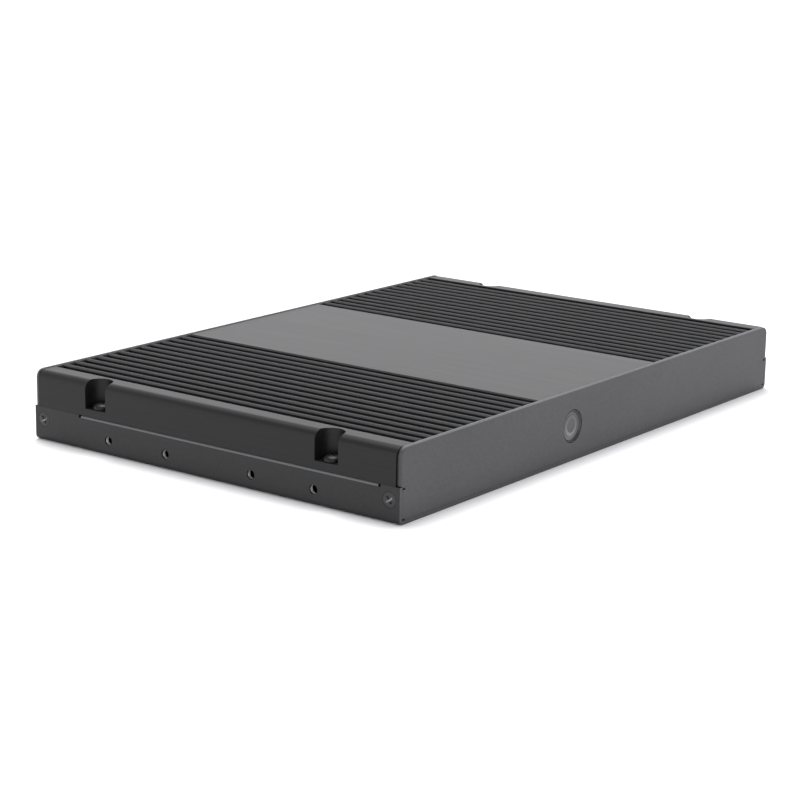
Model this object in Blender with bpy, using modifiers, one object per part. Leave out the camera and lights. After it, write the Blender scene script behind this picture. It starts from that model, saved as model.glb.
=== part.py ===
"""Slim fanless computer case: folded tray, finned aluminium lid, end panels and what they hold.

Metres, +Z up. The origin is the middle of the footprint on the desk. The front panel, with its power
button, faces -Y, and +X is to the right seen from the front.
"""
import math

import bmesh
import bpy
from mathutils import Matrix, Vector

# Overall size of the case.
WIDTH = 0.2146
DEPTH = 0.1435
HEIGHT = 0.0223
HALF_WIDTH = WIDTH / 2
HALF_DEPTH = DEPTH / 2
GAP = 0.0003

# Sheet metal.
TRAY_SHEET = 0.0012
PANEL_SHEET = 0.0010
BEND_RADIUS = 0.0016
FLANGE_BEND_RADIUS = 0.0013
PANEL_BEND_RADIUS = 0.0012
SEAM_HEIGHT = 0.0112
WALL_TOP = SEAM_HEIGHT - GAP / 2

# Finned lid. Both banks share one pitch; the wide pad between them carries the heat in.
LID_BOTTOM = SEAM_HEIGHT + GAP / 2
LID_END_SETBACK = 0.0015
LID_CORNER_RADIUS = 0.0030
LID_UNDERSIDE = 0.0151
LID_LEG_WIDTH = 0.00975
FIN_PITCH = 0.00497
GROOVE_WIDTH = 0.0033
GROOVE_DEPTH = 0.0050
LEFT_LAND = 0.0078
LEFT_GROOVES = 13
RIGHT_BANK_START = 0.1390
RIGHT_GROOVES = 14

# Screw pockets milled into the sides of the lid.
POCKET_OFFSET = 0.0455
POCKET_WIDTH = 0.0085
POCKET_REACH = 0.0062
POCKET_FLOOR = 0.01345
LID_SCREW_INSET = 0.0031

# Front and rear panels.
PANEL_INSET = 0.0006
PANEL_TOP = 0.0222
PANEL_CORNER_RADIUS = 0.0026
PANEL_LOWER_HALF_WIDTH = HALF_WIDTH - TRAY_SHEET - GAP
PANEL_LOWER_EDGE = TRAY_SHEET + GAP
PANEL_CORNER_RELIEF = 0.0006
SLIT_LOW = SEAM_HEIGHT - 0.0010
SLIT_HIGH = SEAM_HEIGHT - 0.0003
FLANGE_LENGTH = 0.0068

# Tray features.
FLANGE_FRONT = -0.0641
FLANGE_REAR = 0.0518
FLANGE_REACH = 0.0088
RELIEF_WIDTH = 0.0009
SIDE_HOLE_HEIGHT = 0.00475
SIDE_HOLE_OFFSETS = (-0.0409, -0.0173, 0.0165, 0.0401)
SIDE_HOLE_RADIUS = 0.0014
CORNER_SCREW_INSET = 0.0037
CORNER_SCREW_HEIGHT = 0.0069
BRACKET_HOLES = (0.0880, 0.0520)

# Screws.
SCREW_HOLE_RADIUS = 0.0015
SCREW_SHANK_RADIUS = 0.0012
CORNER_HEAD_RADIUS = 0.0023
PAN_HEAD_RADIUS = 0.00275
ROUND_STEPS = 20
SCREW_STEPS = 16

# Power button and the board switch behind it.
BUTTON_X = -0.0190
BUTTON_Z = 0.01116
BUTTON_HOLE_RADIUS = 0.0054
BUTTON_RADIUS = 0.0051
BUTTON_RECESS = 0.0004
BUTTON_FACE = -HALF_DEPTH + BUTTON_RECESS

# Mainboard.
BOARD_BOTTOM = 0.0042
BOARD_TOP = 0.0058
ON_BOARD = BOARD_TOP + GAP
BOARD_HALF_WIDTH = 0.0880
BOARD_FRONT = -0.0620
BOARD_REAR = 0.0685
STANDOFF_X = 0.0820
STANDOFF_Y = (-0.0540, 0.0440)

# Rear connectors: centre in x, width, lowest and highest point, depth into the case.
SOCKET_FACE = HALF_DEPTH - 0.0003
DC_JACK_X = -0.0760
LAN_JACK_X = -0.0520
USB_SOCKETS_X = (-0.0280, -0.0080)
VIDEO_SOCKETS_X = (0.0140, 0.0360)
AUDIO_JACK_X = 0.0560
DC_JACK_SIZE = (0.0094, ON_BOARD, 0.0145, 0.0140)
LAN_JACK_SIZE = (0.0160, 0.0031, 0.0144, 0.0205)
USB_SOCKET_SIZE = (0.0146, ON_BOARD, 0.0129, 0.0140)
VIDEO_SOCKET_SIZE = (0.0152, ON_BOARD, 0.0119, 0.0110)
AUDIO_JACK_SIZE = (0.0080, ON_BOARD, 0.0117, 0.0120)

# Heat path between the chip and the lid.
CHIP_X = -0.0020
CHIP_Y = 0.0050

# Turning a shape drawn in its own XY plane so that its thickness runs along another axis.
ALONG_X = Matrix(((0, 0, 1), (1, 0, 0), (0, 1, 0))).to_4x4()
ALONG_Y = Matrix(((1, 0, 0), (0, 0, -1), (0, 1, 0))).to_4x4()
ALONG_Z = Matrix.Identity(4)


def clear_scene():
    for item in list(bpy.data.objects):
        bpy.data.objects.remove(item, do_unlink=True)
    for group in list(bpy.data.collections):
        bpy.data.collections.remove(group)


def new_collection(name):
    group = bpy.data.collections.new(name)
    bpy.context.scene.collection.children.link(group)
    return group


def finish(name, colour, roughness, metallic):
    material = bpy.data.materials.new(name)
    material.use_nodes = True
    shader = material.node_tree.nodes["Principled BSDF"]
    shader.inputs["Base Color"].default_value = (*colour, 1.0)
    shader.inputs["Roughness"].default_value = roughness
    shader.inputs["Metallic"].default_value = metallic
    return material


clear_scene()
PARTS = new_collection("fanless_computer")
CUTTERS = new_collection("cutters")

LID_METAL = finish("anodised_black", (0.050, 0.050, 0.052), 0.42, 1.0)
SHEET_METAL = finish("painted_black", (0.032, 0.032, 0.034), 0.50, 0.4)
SCREW_STEEL = finish("blackened_steel", (0.14, 0.14, 0.145), 0.32, 1.0)
BRASS = finish("brass", (0.62, 0.47, 0.22), 0.35, 1.0)
BUTTON_METAL = finish("button_aluminium", (0.16, 0.16, 0.17), 0.32, 1.0)
BLACK_PLASTIC = finish("black_plastic", (0.020, 0.020, 0.022), 0.55, 0.0)
BOARD_GREEN = finish("board_green", (0.010, 0.075, 0.035), 0.45, 0.0)
CHIP_BLACK = finish("chip_black", (0.015, 0.015, 0.016), 0.40, 0.0)
PAD_GREY = finish("thermal_pad", (0.35, 0.38, 0.42), 0.80, 0.0)
COPPER = finish("copper", (0.70, 0.36, 0.22), 0.30, 1.0)
SOCKET_STEEL = finish("socket_steel", (0.50, 0.50, 0.51), 0.28, 1.0)


# Shape tools -----------------------------------------------------------------------------------

def place(item, material, cutter):
    (CUTTERS if cutter else PARTS).objects.link(item)
    if cutter:
        item.hide_render = True
        item.display_type = "WIRE"
    elif material:
        item.data.materials.clear()
        item.data.materials.append(material)
    return item


def mesh_object(name, mesh, material=None, cutter=False):
    return place(bpy.data.objects.new(name, mesh), material, cutter)


def box(name, low, high, material=None, cutter=False):
    shape = bmesh.new()
    bmesh.ops.create_cube(shape, size=1.0)
    size = Vector(high) - Vector(low)
    middle = (Vector(high) + Vector(low)) / 2
    bmesh.ops.transform(shape, matrix=Matrix.Translation(middle) @ Matrix.Diagonal((*size, 1.0)),
                        verts=shape.verts)
    mesh = bpy.data.meshes.new(name)
    shape.to_mesh(mesh)
    shape.free()
    return mesh_object(name, mesh, material, cutter)


def rod(name, centre, radius, length, turn, material=None, cutter=False, end_radius=None,
        steps=ROUND_STEPS):
    """A cylinder or a cone, from centre along the turned +Z for length."""
    shape = bmesh.new()
    top = radius if end_radius is None else end_radius
    bmesh.ops.create_cone(shape, cap_ends=True, segments=steps, radius1=radius, radius2=top,
                          depth=length)
    bmesh.ops.translate(shape, vec=(0, 0, length / 2), verts=shape.verts)
    bmesh.ops.transform(shape, matrix=Matrix.Translation(centre) @ turn, verts=shape.verts)
    mesh = bpy.data.meshes.new(name)
    shape.to_mesh(mesh)
    shape.free()
    return mesh_object(name, mesh, material, cutter)


def baked(item, name, material=None, cutter=False):
    """A plain mesh object of what item evaluates to; item and its data are removed."""
    bpy.context.view_layer.update()
    evaluated = item.evaluated_get(bpy.context.evaluated_depsgraph_get())
    mesh = bpy.data.meshes.new_from_object(evaluated)
    mesh.name = name
    mesh.transform(item.matrix_world)
    shape = bmesh.new()
    shape.from_mesh(mesh)
    bmesh.ops.remove_doubles(shape, verts=shape.verts, dist=1e-6)
    if all(len(edge.link_faces) == 2 for edge in shape.edges):
        bmesh.ops.recalc_face_normals(shape, faces=shape.faces)
    shape.to_mesh(mesh)
    shape.free()
    bpy.data.objects.remove(item, do_unlink=True)
    return mesh_object(name, mesh, material, cutter)


def plate(name, outline, start, end, turn, material=None, cutter=False):
    """A closed outline in its own XY plane, given thickness from start to end along the turned Z."""
    curve = bpy.data.curves.new(name, "CURVE")
    curve.dimensions = "2D"
    curve.fill_mode = "BOTH"
    curve.extrude = (end - start) / 2
    line = curve.splines.new("POLY")
    line.points.add(len(outline) - 1)
    for point, (across, up) in zip(line.points, outline):
        point.co = (across, up, 0, 1)
    line.use_cyclic_u = True
    item = bpy.data.objects.new(name + "_outline", curve)
    bpy.context.scene.collection.objects.link(item)
    item.matrix_world = turn @ Matrix.Translation((0, 0, (start + end) / 2))
    return baked(item, name, material, cutter)


def plate_y(name, outline, start, end, material=None, cutter=False):
    return plate(name, outline, -end, -start, ALONG_Y, material, cutter)


def plate_z(name, outline, start, end, material=None, cutter=False):
    return plate(name, outline, start, end, ALONG_Z, material, cutter)


def folded_sheet(name, path, start, end, thickness, turn, material=None, cutter=False):
    """A sheet folded along path, from start to end along the turned Z.

    The path is the sheet's outer line; the metal lies on the left of its direction.
    """
    shape = bmesh.new()
    line = [shape.verts.new((a, b, start)) for a, b in path]
    edges = [shape.edges.new(pair) for pair in zip(line, line[1:])]
    swept = bmesh.ops.extrude_edge_only(shape, edges=edges)
    far_side = [part for part in swept["geom"] if isinstance(part, bmesh.types.BMVert)]
    bmesh.ops.translate(shape, vec=(0, 0, end - start), verts=far_side)
    first = line[0].link_faces[0]
    along = line[1].co - line[0].co
    first.normal_update()
    if first.normal.dot(along.cross(Vector((0, 0, 1)))) < 0:
        bmesh.ops.reverse_faces(shape, faces=shape.faces)
    bmesh.ops.transform(shape, matrix=turn, verts=shape.verts)
    mesh = bpy.data.meshes.new(name)
    shape.to_mesh(mesh)
    shape.free()
    item = mesh_object(name + "_surface", mesh, None, False)
    skin = item.modifiers.new("sheet", "SOLIDIFY")
    skin.thickness = thickness
    skin.offset = -1.0
    skin.use_even_offset = True
    return baked(item, name, material, cutter)


def turned(name, profile, place_at, turn, material=None, closed=False, cutter=False,
           steps=ROUND_STEPS):
    """A profile of (radius, height) turned about its own Z, which turn and place_at then set."""
    shape = bmesh.new()
    points = [shape.verts.new((radius, 0, height)) for radius, height in profile]
    for one, other in zip(points, points[1:]):
        shape.edges.new((one, other))
    if closed:
        shape.edges.new((points[-1], points[0]))
    mesh = bpy.data.meshes.new(name)
    shape.to_mesh(mesh)
    shape.free()
    item = mesh_object(name + "_profile", mesh, None, False)
    spin = item.modifiers.new("spin", "SCREW")
    spin.axis = "Z"
    spin.steps = steps
    spin.render_steps = steps
    spin.use_merge_vertices = True
    spin.merge_threshold = 0.00001
    item.matrix_world = Matrix.Translation(place_at) @ turn
    return baked(item, name, material, cutter)


def arc(centre, radius, start, end, steps):
    """Points on an arc, from start to end degrees."""
    spread = [math.radians(start + (end - start) * i / steps) for i in range(steps + 1)]
    return [(centre[0] + radius * math.cos(a), centre[1] + radius * math.sin(a)) for a in spread]


def boolean(item, other, operation):
    change = item.modifiers.new(other.name, "BOOLEAN")
    change.operation = operation
    change.solver = "EXACT"
    change.object = other


def cut(item, *cutters):
    for cutter in cutters:
        boolean(item, cutter, "DIFFERENCE")


def join(item, *others):
    for other in others:
        boolean(item, other, "UNION")


def smooth(item, degrees=35):
    item.data.shade_smooth()
    item.data.set_sharp_from_angle(angle=math.radians(degrees))


def mirrored(outline):
    """An outline's right half, drawn bottom to top, closed by its own mirror image."""
    return outline + [(-across, up) for across, up in reversed(outline)]


# Lid ---------------------------------------------------------------------------------------------

def groove(start):
    """One groove between fins: down, across and up, with its bottom corners eased."""
    ease = 0.0004
    left = start - HALF_WIDTH
    right = left + GROOVE_WIDTH
    bottom = HEIGHT - GROOVE_DEPTH
    return [(left, HEIGHT), (left, bottom + ease), (left + ease, bottom),
            (right - ease, bottom), (right, bottom + ease), (right, HEIGHT)]


def lid_outline():
    inner = HALF_WIDTH - LID_LEG_WIDTH
    corner = HALF_WIDTH - LID_CORNER_RADIUS
    shoulder = HEIGHT - LID_CORNER_RADIUS
    points = [(-inner, LID_UNDERSIDE), (-inner, LID_BOTTOM), (-HALF_WIDTH, LID_BOTTOM)]
    points += arc((-corner, shoulder), LID_CORNER_RADIUS, 180, 90, 7)
    for i in range(LEFT_GROOVES):
        points += groove(LEFT_LAND + i * FIN_PITCH)
    for i in range(RIGHT_GROOVES):
        points += groove(RIGHT_BANK_START + i * FIN_PITCH)
    points += arc((corner, shoulder), LID_CORNER_RADIUS, 90, 0, 7)
    points += [(HALF_WIDTH, LID_BOTTOM), (inner, LID_BOTTOM), (inner, LID_UNDERSIDE)]
    return points


def pocket_outline(side, y):
    """A slot from the side of the lid, with a round inner end."""
    half = POCKET_WIDTH / 2
    turn_x = side * (HALF_WIDTH - POCKET_REACH + half)
    outside = side * (HALF_WIDTH + 0.002)
    if side < 0:
        return [(outside, y - half)] + arc((turn_x, y), half, -90, 90, 12) + [(outside, y + half)]
    return [(outside, y + half)] + arc((turn_x, y), half, 90, 270, 12) + [(outside, y - half)]


def make_lid():
    end = HALF_DEPTH - LID_END_SETBACK
    lid = plate_y("heatsink_lid", lid_outline(), -end, end, LID_METAL)
    for side in (-1, 1):
        for y in (-POCKET_OFFSET, POCKET_OFFSET):
            tag = f"{side}_{y:.3f}"
            pocket = plate_z("lid_pocket_" + tag, pocket_outline(side, y), POCKET_FLOOR,
                             HEIGHT + 0.001, cutter=True)
            hole = rod("lid_screw_hole_" + tag, (side * (HALF_WIDTH - LID_SCREW_INSET), y, 0.009),
                       SCREW_HOLE_RADIUS + 0.0002, 0.0055, ALONG_Z, cutter=True)
            cut(lid, pocket, hole)
    relief = box("button_relief", (BUTTON_X - 0.0096, -HALF_DEPTH, 0.0100),
                 (BUTTON_X + 0.0096, -0.0575, 0.0191), cutter=True)
    cut(lid, relief)
    for side in (-1, 1):
        bore = rod(f"block_bore_{side}", (CHIP_X, CHIP_Y + side * 0.0260, 0.0140),
                   SCREW_HOLE_RADIUS, 0.0057, ALONG_Z, cutter=True)
        cut(lid, bore)
    smooth(lid)
    return lid


# Tray --------------------------------------------------------------------------------------------

def tray_path():
    """The tray's outer line from flange tip to flange tip: flange, wall, floor, wall, flange."""
    tip = HALF_WIDTH - FLANGE_REACH
    bend = FLANGE_BEND_RADIUS
    right = [(tip, WALL_TOP)]
    right += arc((HALF_WIDTH - bend, WALL_TOP - bend), bend, 90, 0, 5)
    right += arc((HALF_WIDTH - BEND_RADIUS, BEND_RADIUS), BEND_RADIUS, 0, -90, 5)
    return [(-across, up) for across, up in right] + list(reversed(right))


def make_tray():
    length = HALF_DEPTH
    tray = folded_sheet("tray", tray_path(), -length, length, TRAY_SHEET, ALONG_Y, SHEET_METAL)
    bend_start = WALL_TOP - FLANGE_BEND_RADIUS
    front_end = FLANGE_FRONT
    rear_end = FLANGE_REAR
    beyond = HALF_DEPTH + 0.001
    for side in (-1, 1):
        outer = side * (HALF_WIDTH + 0.001)
        inner = side * (HALF_WIDTH - FLANGE_REACH - 0.001)
        low_x, high_x = sorted((outer, inner))
        for tag, start, end in (("front", -beyond, front_end), ("rear", rear_end, beyond)):
            cut(tray, box(f"no_flange_{tag}_{side}", (low_x, start, bend_start),
                          (high_x, end, 0.013), cutter=True))
        wall_low, wall_high = sorted((side * HALF_WIDTH, side * (HALF_WIDTH - TRAY_SHEET)))
        for tag, start, end in (("front", -length, front_end - RELIEF_WIDTH),
                                ("rear", rear_end + RELIEF_WIDTH, length)):
            join(tray, box(f"wall_tab_{tag}_{side}", (wall_low, start, bend_start - 0.0006),
                           (wall_high, end, WALL_TOP), cutter=True))
        add_side_holes(tray, side)
        add_corner_countersinks(tray, side)
        for y in (-POCKET_OFFSET, POCKET_OFFSET):
            cut(tray, rod(f"flange_tap_{side}_{y:.3f}",
                          (side * (HALF_WIDTH - LID_SCREW_INSET), y, 0.008), SCREW_HOLE_RADIUS,
                          0.004, ALONG_Z, cutter=True))
        for y in (-BRACKET_HOLES[1], BRACKET_HOLES[1]):
            cut(tray, rod(f"bracket_hole_{side}_{y:.3f}", (side * BRACKET_HOLES[0], y, -0.001),
                          0.0016, 0.003, ALONG_Z, cutter=True))
    smooth(tray)
    return tray


def add_side_holes(tray, side):
    """Tapped collars drawn inward from the wall, for handles or wall brackets."""
    inward = ALONG_X if side < 0 else ALONG_X @ Matrix.Rotation(math.pi, 4, "Y")
    for y in SIDE_HOLE_OFFSETS:
        tag = f"{side}_{y:.4f}"
        collar_start = side * (HALF_WIDTH - TRAY_SHEET / 2)
        join(tray, rod("tap_collar_" + tag, (collar_start, y, SIDE_HOLE_HEIGHT), 0.0022,
                       0.0020, inward, cutter=True))
        cut(tray, rod("tap_bore_" + tag, (side * (HALF_WIDTH + 0.001), y, SIDE_HOLE_HEIGHT),
                      SIDE_HOLE_RADIUS, 0.005, inward, cutter=True))


def add_corner_countersinks(tray, side):
    inward = ALONG_X if side < 0 else ALONG_X @ Matrix.Rotation(math.pi, 4, "Y")
    sink = 0.0011
    for y in (CORNER_SCREW_INSET - HALF_DEPTH, HALF_DEPTH - CORNER_SCREW_INSET):
        tag = f"{side}_{y:.4f}"
        mouth = CORNER_HEAD_RADIUS + 0.00045
        outside = 0.0005
        cone = rod("countersink_" + tag, (side * (HALF_WIDTH + outside), y, CORNER_SCREW_HEIGHT),
                   mouth + outside, sink + outside, inward, end_radius=mouth - sink, cutter=True)
        bore = rod("corner_bore_" + tag, (side * (HALF_WIDTH + outside), y, CORNER_SCREW_HEIGHT),
                   mouth - sink, 0.003, inward, cutter=True)
        cut(tray, cone, bore)


# End panels --------------------------------------------------------------------------------------

def panel_outline():
    """The flat of a panel: wide above the seam, narrower below it, slit where the flanges start."""
    lower = PANEL_LOWER_HALF_WIDTH - PANEL_BEND_RADIUS
    low = PANEL_LOWER_EDGE + PANEL_BEND_RADIUS
    upper = HALF_WIDTH - PANEL_INSET
    corner = (upper - PANEL_CORNER_RADIUS, PANEL_TOP - PANEL_CORNER_RADIUS)
    right = [(lower - PANEL_CORNER_RELIEF, low), (lower, low + PANEL_CORNER_RELIEF),
             (lower, SLIT_LOW), (lower, SLIT_HIGH), (PANEL_LOWER_HALF_WIDTH, SLIT_HIGH),
             (PANEL_LOWER_HALF_WIDTH, LID_BOTTOM), (upper, LID_BOTTOM)]
    right += arc(corner, PANEL_CORNER_RADIUS, 0, 90, 6)
    return mirrored(right)


def fold_back(shape, edge, outward):
    """Carry a flange on from one edge of the flat: round the bend, then straight into the case."""
    bend = arc((0, PANEL_BEND_RADIUS), PANEL_BEND_RADIUS, -90, 0, 5)
    path = bend + [(PANEL_BEND_RADIUS, FLANGE_LENGTH)]
    for (across, deep), (next_across, next_deep) in zip(path, path[1:]):
        swept = bmesh.ops.extrude_edge_only(shape, edges=[edge])["geom"]
        moved = [part for part in swept if isinstance(part, bmesh.types.BMVert)]
        step = outward * (next_across - across) + Vector((0, next_deep - deep, 0))
        bmesh.ops.translate(shape, vec=step, verts=moved)
        edge = next(part for part in swept if isinstance(part, bmesh.types.BMEdge)
                    and all(vert in moved for vert in part.verts))


def make_panel(name, end):
    """A plate with three flanges folded from its edges; end is -1 at the front, 1 at the rear."""
    shape = bmesh.new()
    rim = [shape.verts.new((x, -HALF_DEPTH, z)) for x, z in panel_outline()]
    edges = [shape.edges.new(pair) for pair in zip(rim, rim[1:] + rim[:1])]
    bmesh.ops.contextual_create(shape, geom=edges)
    fold_back(shape, edges[1], Vector((1, 0, 0)))
    fold_back(shape, edges[-3], Vector((-1, 0, 0)))
    fold_back(shape, edges[-1], Vector((0, 0, -1)))
    bmesh.ops.recalc_face_normals(shape, faces=shape.faces)
    flat = max(shape.faces, key=lambda face: face.calc_area())
    if flat.normal.y > 0:
        bmesh.ops.reverse_faces(shape, faces=shape.faces)
    if end > 0:
        bmesh.ops.rotate(shape, cent=(0, 0, 0), matrix=Matrix.Rotation(math.pi, 3, "Z"),
                         verts=shape.verts)
    mesh = bpy.data.meshes.new(name)
    shape.to_mesh(mesh)
    shape.free()
    panel = mesh_object(name, mesh, SHEET_METAL)
    skin = panel.modifiers.new("sheet", "SOLIDIFY")
    skin.thickness = PANEL_SHEET
    skin.offset = -1.0
    skin.use_even_offset = True
    for side in (-1, 1):
        inward = ALONG_X if side < 0 else ALONG_X @ Matrix.Rotation(math.pi, 4, "Y")
        cut(panel, rod(f"{name}_tap_{side}", (side * (PANEL_LOWER_HALF_WIDTH + 0.001),
                                              end * (HALF_DEPTH - CORNER_SCREW_INSET),
                                              CORNER_SCREW_HEIGHT), SCREW_HOLE_RADIUS, 0.004,
                       inward, cutter=True))
    return panel


def make_front_panel():
    panel = make_panel("front_panel", -1)
    hole = rod("button_hole", (BUTTON_X, -HALF_DEPTH - 0.001, BUTTON_Z), BUTTON_HOLE_RADIUS, 0.004,
               ALONG_Y @ Matrix.Rotation(math.pi, 4, "X"), cutter=True, steps=36)
    cut(panel, hole)
    smooth(panel)


def make_rear_panel():
    """The same plate with a window for each connector."""
    panel = make_panel("rear_panel", 1)
    windows = [(DC_JACK_X, DC_JACK_SIZE), (LAN_JACK_X, LAN_JACK_SIZE),
               (AUDIO_JACK_X, AUDIO_JACK_SIZE)]
    windows += [(x, USB_SOCKET_SIZE) for x in USB_SOCKETS_X]
    windows += [(x, VIDEO_SOCKET_SIZE) for x in VIDEO_SOCKETS_X]
    for x, (width, low, high, _) in windows:
        cut(panel, box(f"window_{x:.3f}", (x - width / 2 - GAP, HALF_DEPTH - 0.002, low - GAP),
                       (x + width / 2 + GAP, HALF_DEPTH + 0.001, high + GAP), cutter=True))
    smooth(panel)


# Screws ------------------------------------------------------------------------------------------

def cross_outline(reach, blade):
    """The outline of a cross recess: four arms that narrow a little towards their tips."""
    arm = [(reach, -0.8 * blade), (reach, 0.8 * blade), (blade, blade)]
    outline = []
    for quarter in range(4):
        turn = Matrix.Rotation(math.radians(90 * quarter), 2)
        outline += [tuple(turn @ Vector(point)) for point in arm]
    return outline


def screw(name, profile, place_at, turn, reach, depth):
    """A turned fastener whose head, at the top of its profile, has a cross recess."""
    item = turned(name, profile, place_at, turn, SCREW_STEEL, steps=SCREW_STEPS)
    top = profile[0][1]
    recess = plate_z(name + "_recess", cross_outline(reach, 0.00036), top - depth, top + 0.0005,
                     cutter=True)
    off_seam = Matrix.Rotation(math.pi / SCREW_STEPS, 4, "Z")
    recess.matrix_world = Matrix.Translation(place_at) @ turn @ off_seam
    cut(item, recess)
    smooth(item)


def countersunk_profile(length):
    slope = CORNER_HEAD_RADIUS - SCREW_SHANK_RADIUS
    return [(0, 0), (CORNER_HEAD_RADIUS, 0), (SCREW_SHANK_RADIUS, -slope),
            (SCREW_SHANK_RADIUS, -length + 0.0004), (SCREW_SHANK_RADIUS - 0.0004, -length),
            (0, -length)]


def pan_profile(radius, height, length):
    """A domed head whose underside is at height zero, with its shank below."""
    rim = height * 0.5
    dome = [(radius * math.sin(math.radians(a)), rim + (height - rim) * math.cos(math.radians(a)))
            for a in (38, 66, 90)]
    return ([(0, height)] + dome + [(radius - 0.0001, 0), (SCREW_SHANK_RADIUS, 0),
                                    (SCREW_SHANK_RADIUS, -length + 0.0004),
                                    (SCREW_SHANK_RADIUS - 0.0004, -length), (0, -length)])


def make_screws():
    sides = {-1: "left", 1: "right"}
    ends = {-1: "front", 1: "rear"}
    for side, side_name in sides.items():
        outward = ALONG_X if side > 0 else ALONG_X @ Matrix.Rotation(math.pi, 4, "Y")
        for end, end_name in ends.items():
            screw(f"corner_screw_{end_name}_{side_name}", countersunk_profile(0.0058),
                  (side * (HALF_WIDTH - 0.00005), end * (HALF_DEPTH - CORNER_SCREW_INSET),
                   CORNER_SCREW_HEIGHT), outward, 0.0013, 0.0006)
            screw(f"lid_screw_{end_name}_{side_name}", pan_profile(PAN_HEAD_RADIUS, 0.0017, 0.0060),
                  (side * (HALF_WIDTH - LID_SCREW_INSET), end * POCKET_OFFSET, POCKET_FLOOR + GAP),
                  ALONG_Z, 0.0014, 0.0007)


# Power button ------------------------------------------------------------------------------------

def make_button():
    """A dished cap with a stem; its origin is on the axis that it slides along."""
    profile = [(0, -0.00062)]
    profile += [(radius, -0.00062 + 0.00054 * (radius / 0.0033) ** 2)
                for radius in (0.0008, 0.0016, 0.0024, 0.0030, 0.0033)]
    profile += [(0.0037, 0), (0.0043, 0), (0.0047, -0.00012), (BUTTON_RADIUS, -0.0004),
                (BUTTON_RADIUS, -0.00092), (0.0062, -0.00095), (0.0062, -0.0020), (0.0020, -0.0021),
                (0.0020, -0.0063), (0, -0.0063)]
    cap = turned("power_button", profile, (0, 0, 0), ALONG_Y, BUTTON_METAL, steps=32)
    cap.location = (BUTTON_X, BUTTON_FACE, BUTTON_Z)
    smooth(cap)

    guide_profile = [(0.0076, 0), (0.0076, -0.0059), (0.0025, -0.0059), (0.0025, -0.0047),
                     (0.0066, -0.0047), (0.0066, 0)]
    guide = turned("button_guide", guide_profile, (BUTTON_X, -HALF_DEPTH + 0.00135, BUTTON_Z),
                   ALONG_Y, BLACK_PLASTIC, closed=True, steps=28)
    smooth(guide)

    plunger = rod("switch_plunger", (BUTTON_X, -0.06260, BUTTON_Z), 0.0016, 0.00215, ALONG_Y,
                  BLACK_PLASTIC, steps=20)
    smooth(plunger)
    body = box("switch_body", (BUTTON_X - 0.0030, -0.0640, ON_BOARD), (BUTTON_X + 0.0030, -0.0600,
                                                                     0.0141), SOCKET_STEEL)
    cut(body, rod("switch_bore", (BUTTON_X, -0.0618, BUTTON_Z), 0.0019, 0.004, ALONG_Y, cutter=True,
                  steps=20))


# Mainboard and what is on it ---------------------------------------------------------------------

def make_mainboard():
    board = box("mainboard", (-BOARD_HALF_WIDTH, BOARD_FRONT, BOARD_BOTTOM),
                (BOARD_HALF_WIDTH, BOARD_REAR, BOARD_TOP), BOARD_GREEN)
    for side in (-1, 1):
        for y in STANDOFF_Y:
            cut(board, rod(f"board_hole_{side}_{y:.3f}", (side * STANDOFF_X, y, 0.003), 0.0016,
                           0.004, ALONG_Z, cutter=True, steps=20))
    width, _, _, depth = LAN_JACK_SIZE
    cut(board, box("lan_notch", (LAN_JACK_X - width / 2 - GAP, SOCKET_FACE - depth - GAP, 0.003),
                   (LAN_JACK_X + width / 2 + GAP, HALF_DEPTH, 0.007), cutter=True))


def make_standoffs():
    names = {(-1, 0): "front_left", (1, 0): "front_right", (-1, 1): "rear_left", (1, 1): "rear_right"}
    top = BOARD_BOTTOM - GAP
    for (side, row), tag in names.items():
        x = side * STANDOFF_X
        y = STANDOFF_Y[row]
        profile = [(SCREW_HOLE_RADIUS, top), (0.0028, top), (0.0028, TRAY_SHEET + GAP),
                   (SCREW_HOLE_RADIUS, TRAY_SHEET + GAP)]
        post = turned("standoff_" + tag, profile, (x, y, 0), ALONG_Z, BRASS, closed=True, steps=6)
        smooth(post, 20)
        small_screw("board_screw_" + tag, (x, y, ON_BOARD), 0.0035)


def small_screw(name, place_at, length):
    screw(name, pan_profile(0.0026, 0.0013, length), place_at, ALONG_Z, 0.0013, 0.0006)


def make_heat_path():
    """Chip, pad and copper block, screwed up into the lid's solid middle."""
    substrate = box("processor", (CHIP_X - 0.0170, CHIP_Y - 0.0170, ON_BOARD),
                    (CHIP_X + 0.0170, CHIP_Y + 0.0170, 0.0072), BOARD_GREEN)
    join(substrate, box("die", (CHIP_X - 0.0070, CHIP_Y - 0.0060, 0.0070),
                        (CHIP_X + 0.0070, CHIP_Y + 0.0060, 0.0078), cutter=True))
    box("thermal_pad", (CHIP_X - 0.0080, CHIP_Y - 0.0080, 0.0081),
        (CHIP_X + 0.0080, CHIP_Y + 0.0080, 0.0088), PAD_GREY)
    block = box("heat_block", (CHIP_X - 0.0200, CHIP_Y - 0.0200, 0.0091),
                (CHIP_X + 0.0200, CHIP_Y + 0.0200, LID_UNDERSIDE - GAP), COPPER)
    join(block, box("block_ears", (CHIP_X - 0.0060, CHIP_Y - 0.0300, 0.0120),
                    (CHIP_X + 0.0060, CHIP_Y + 0.0300, LID_UNDERSIDE - GAP), cutter=True))
    downward = Matrix.Rotation(math.pi, 4, "X")
    for side, tag in ((-1, "front"), (1, "rear")):
        y = CHIP_Y + side * 0.0260
        cut(block, rod(f"ear_hole_{tag}", (CHIP_X, y, 0.0110), SCREW_HOLE_RADIUS, 0.005, ALONG_Z,
                       cutter=True, steps=20))
        screw("block_screw_" + tag, pan_profile(0.0026, 0.0014, 0.0070), (CHIP_X, y, 0.0117),
              downward, 0.0013, 0.0006)


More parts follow.
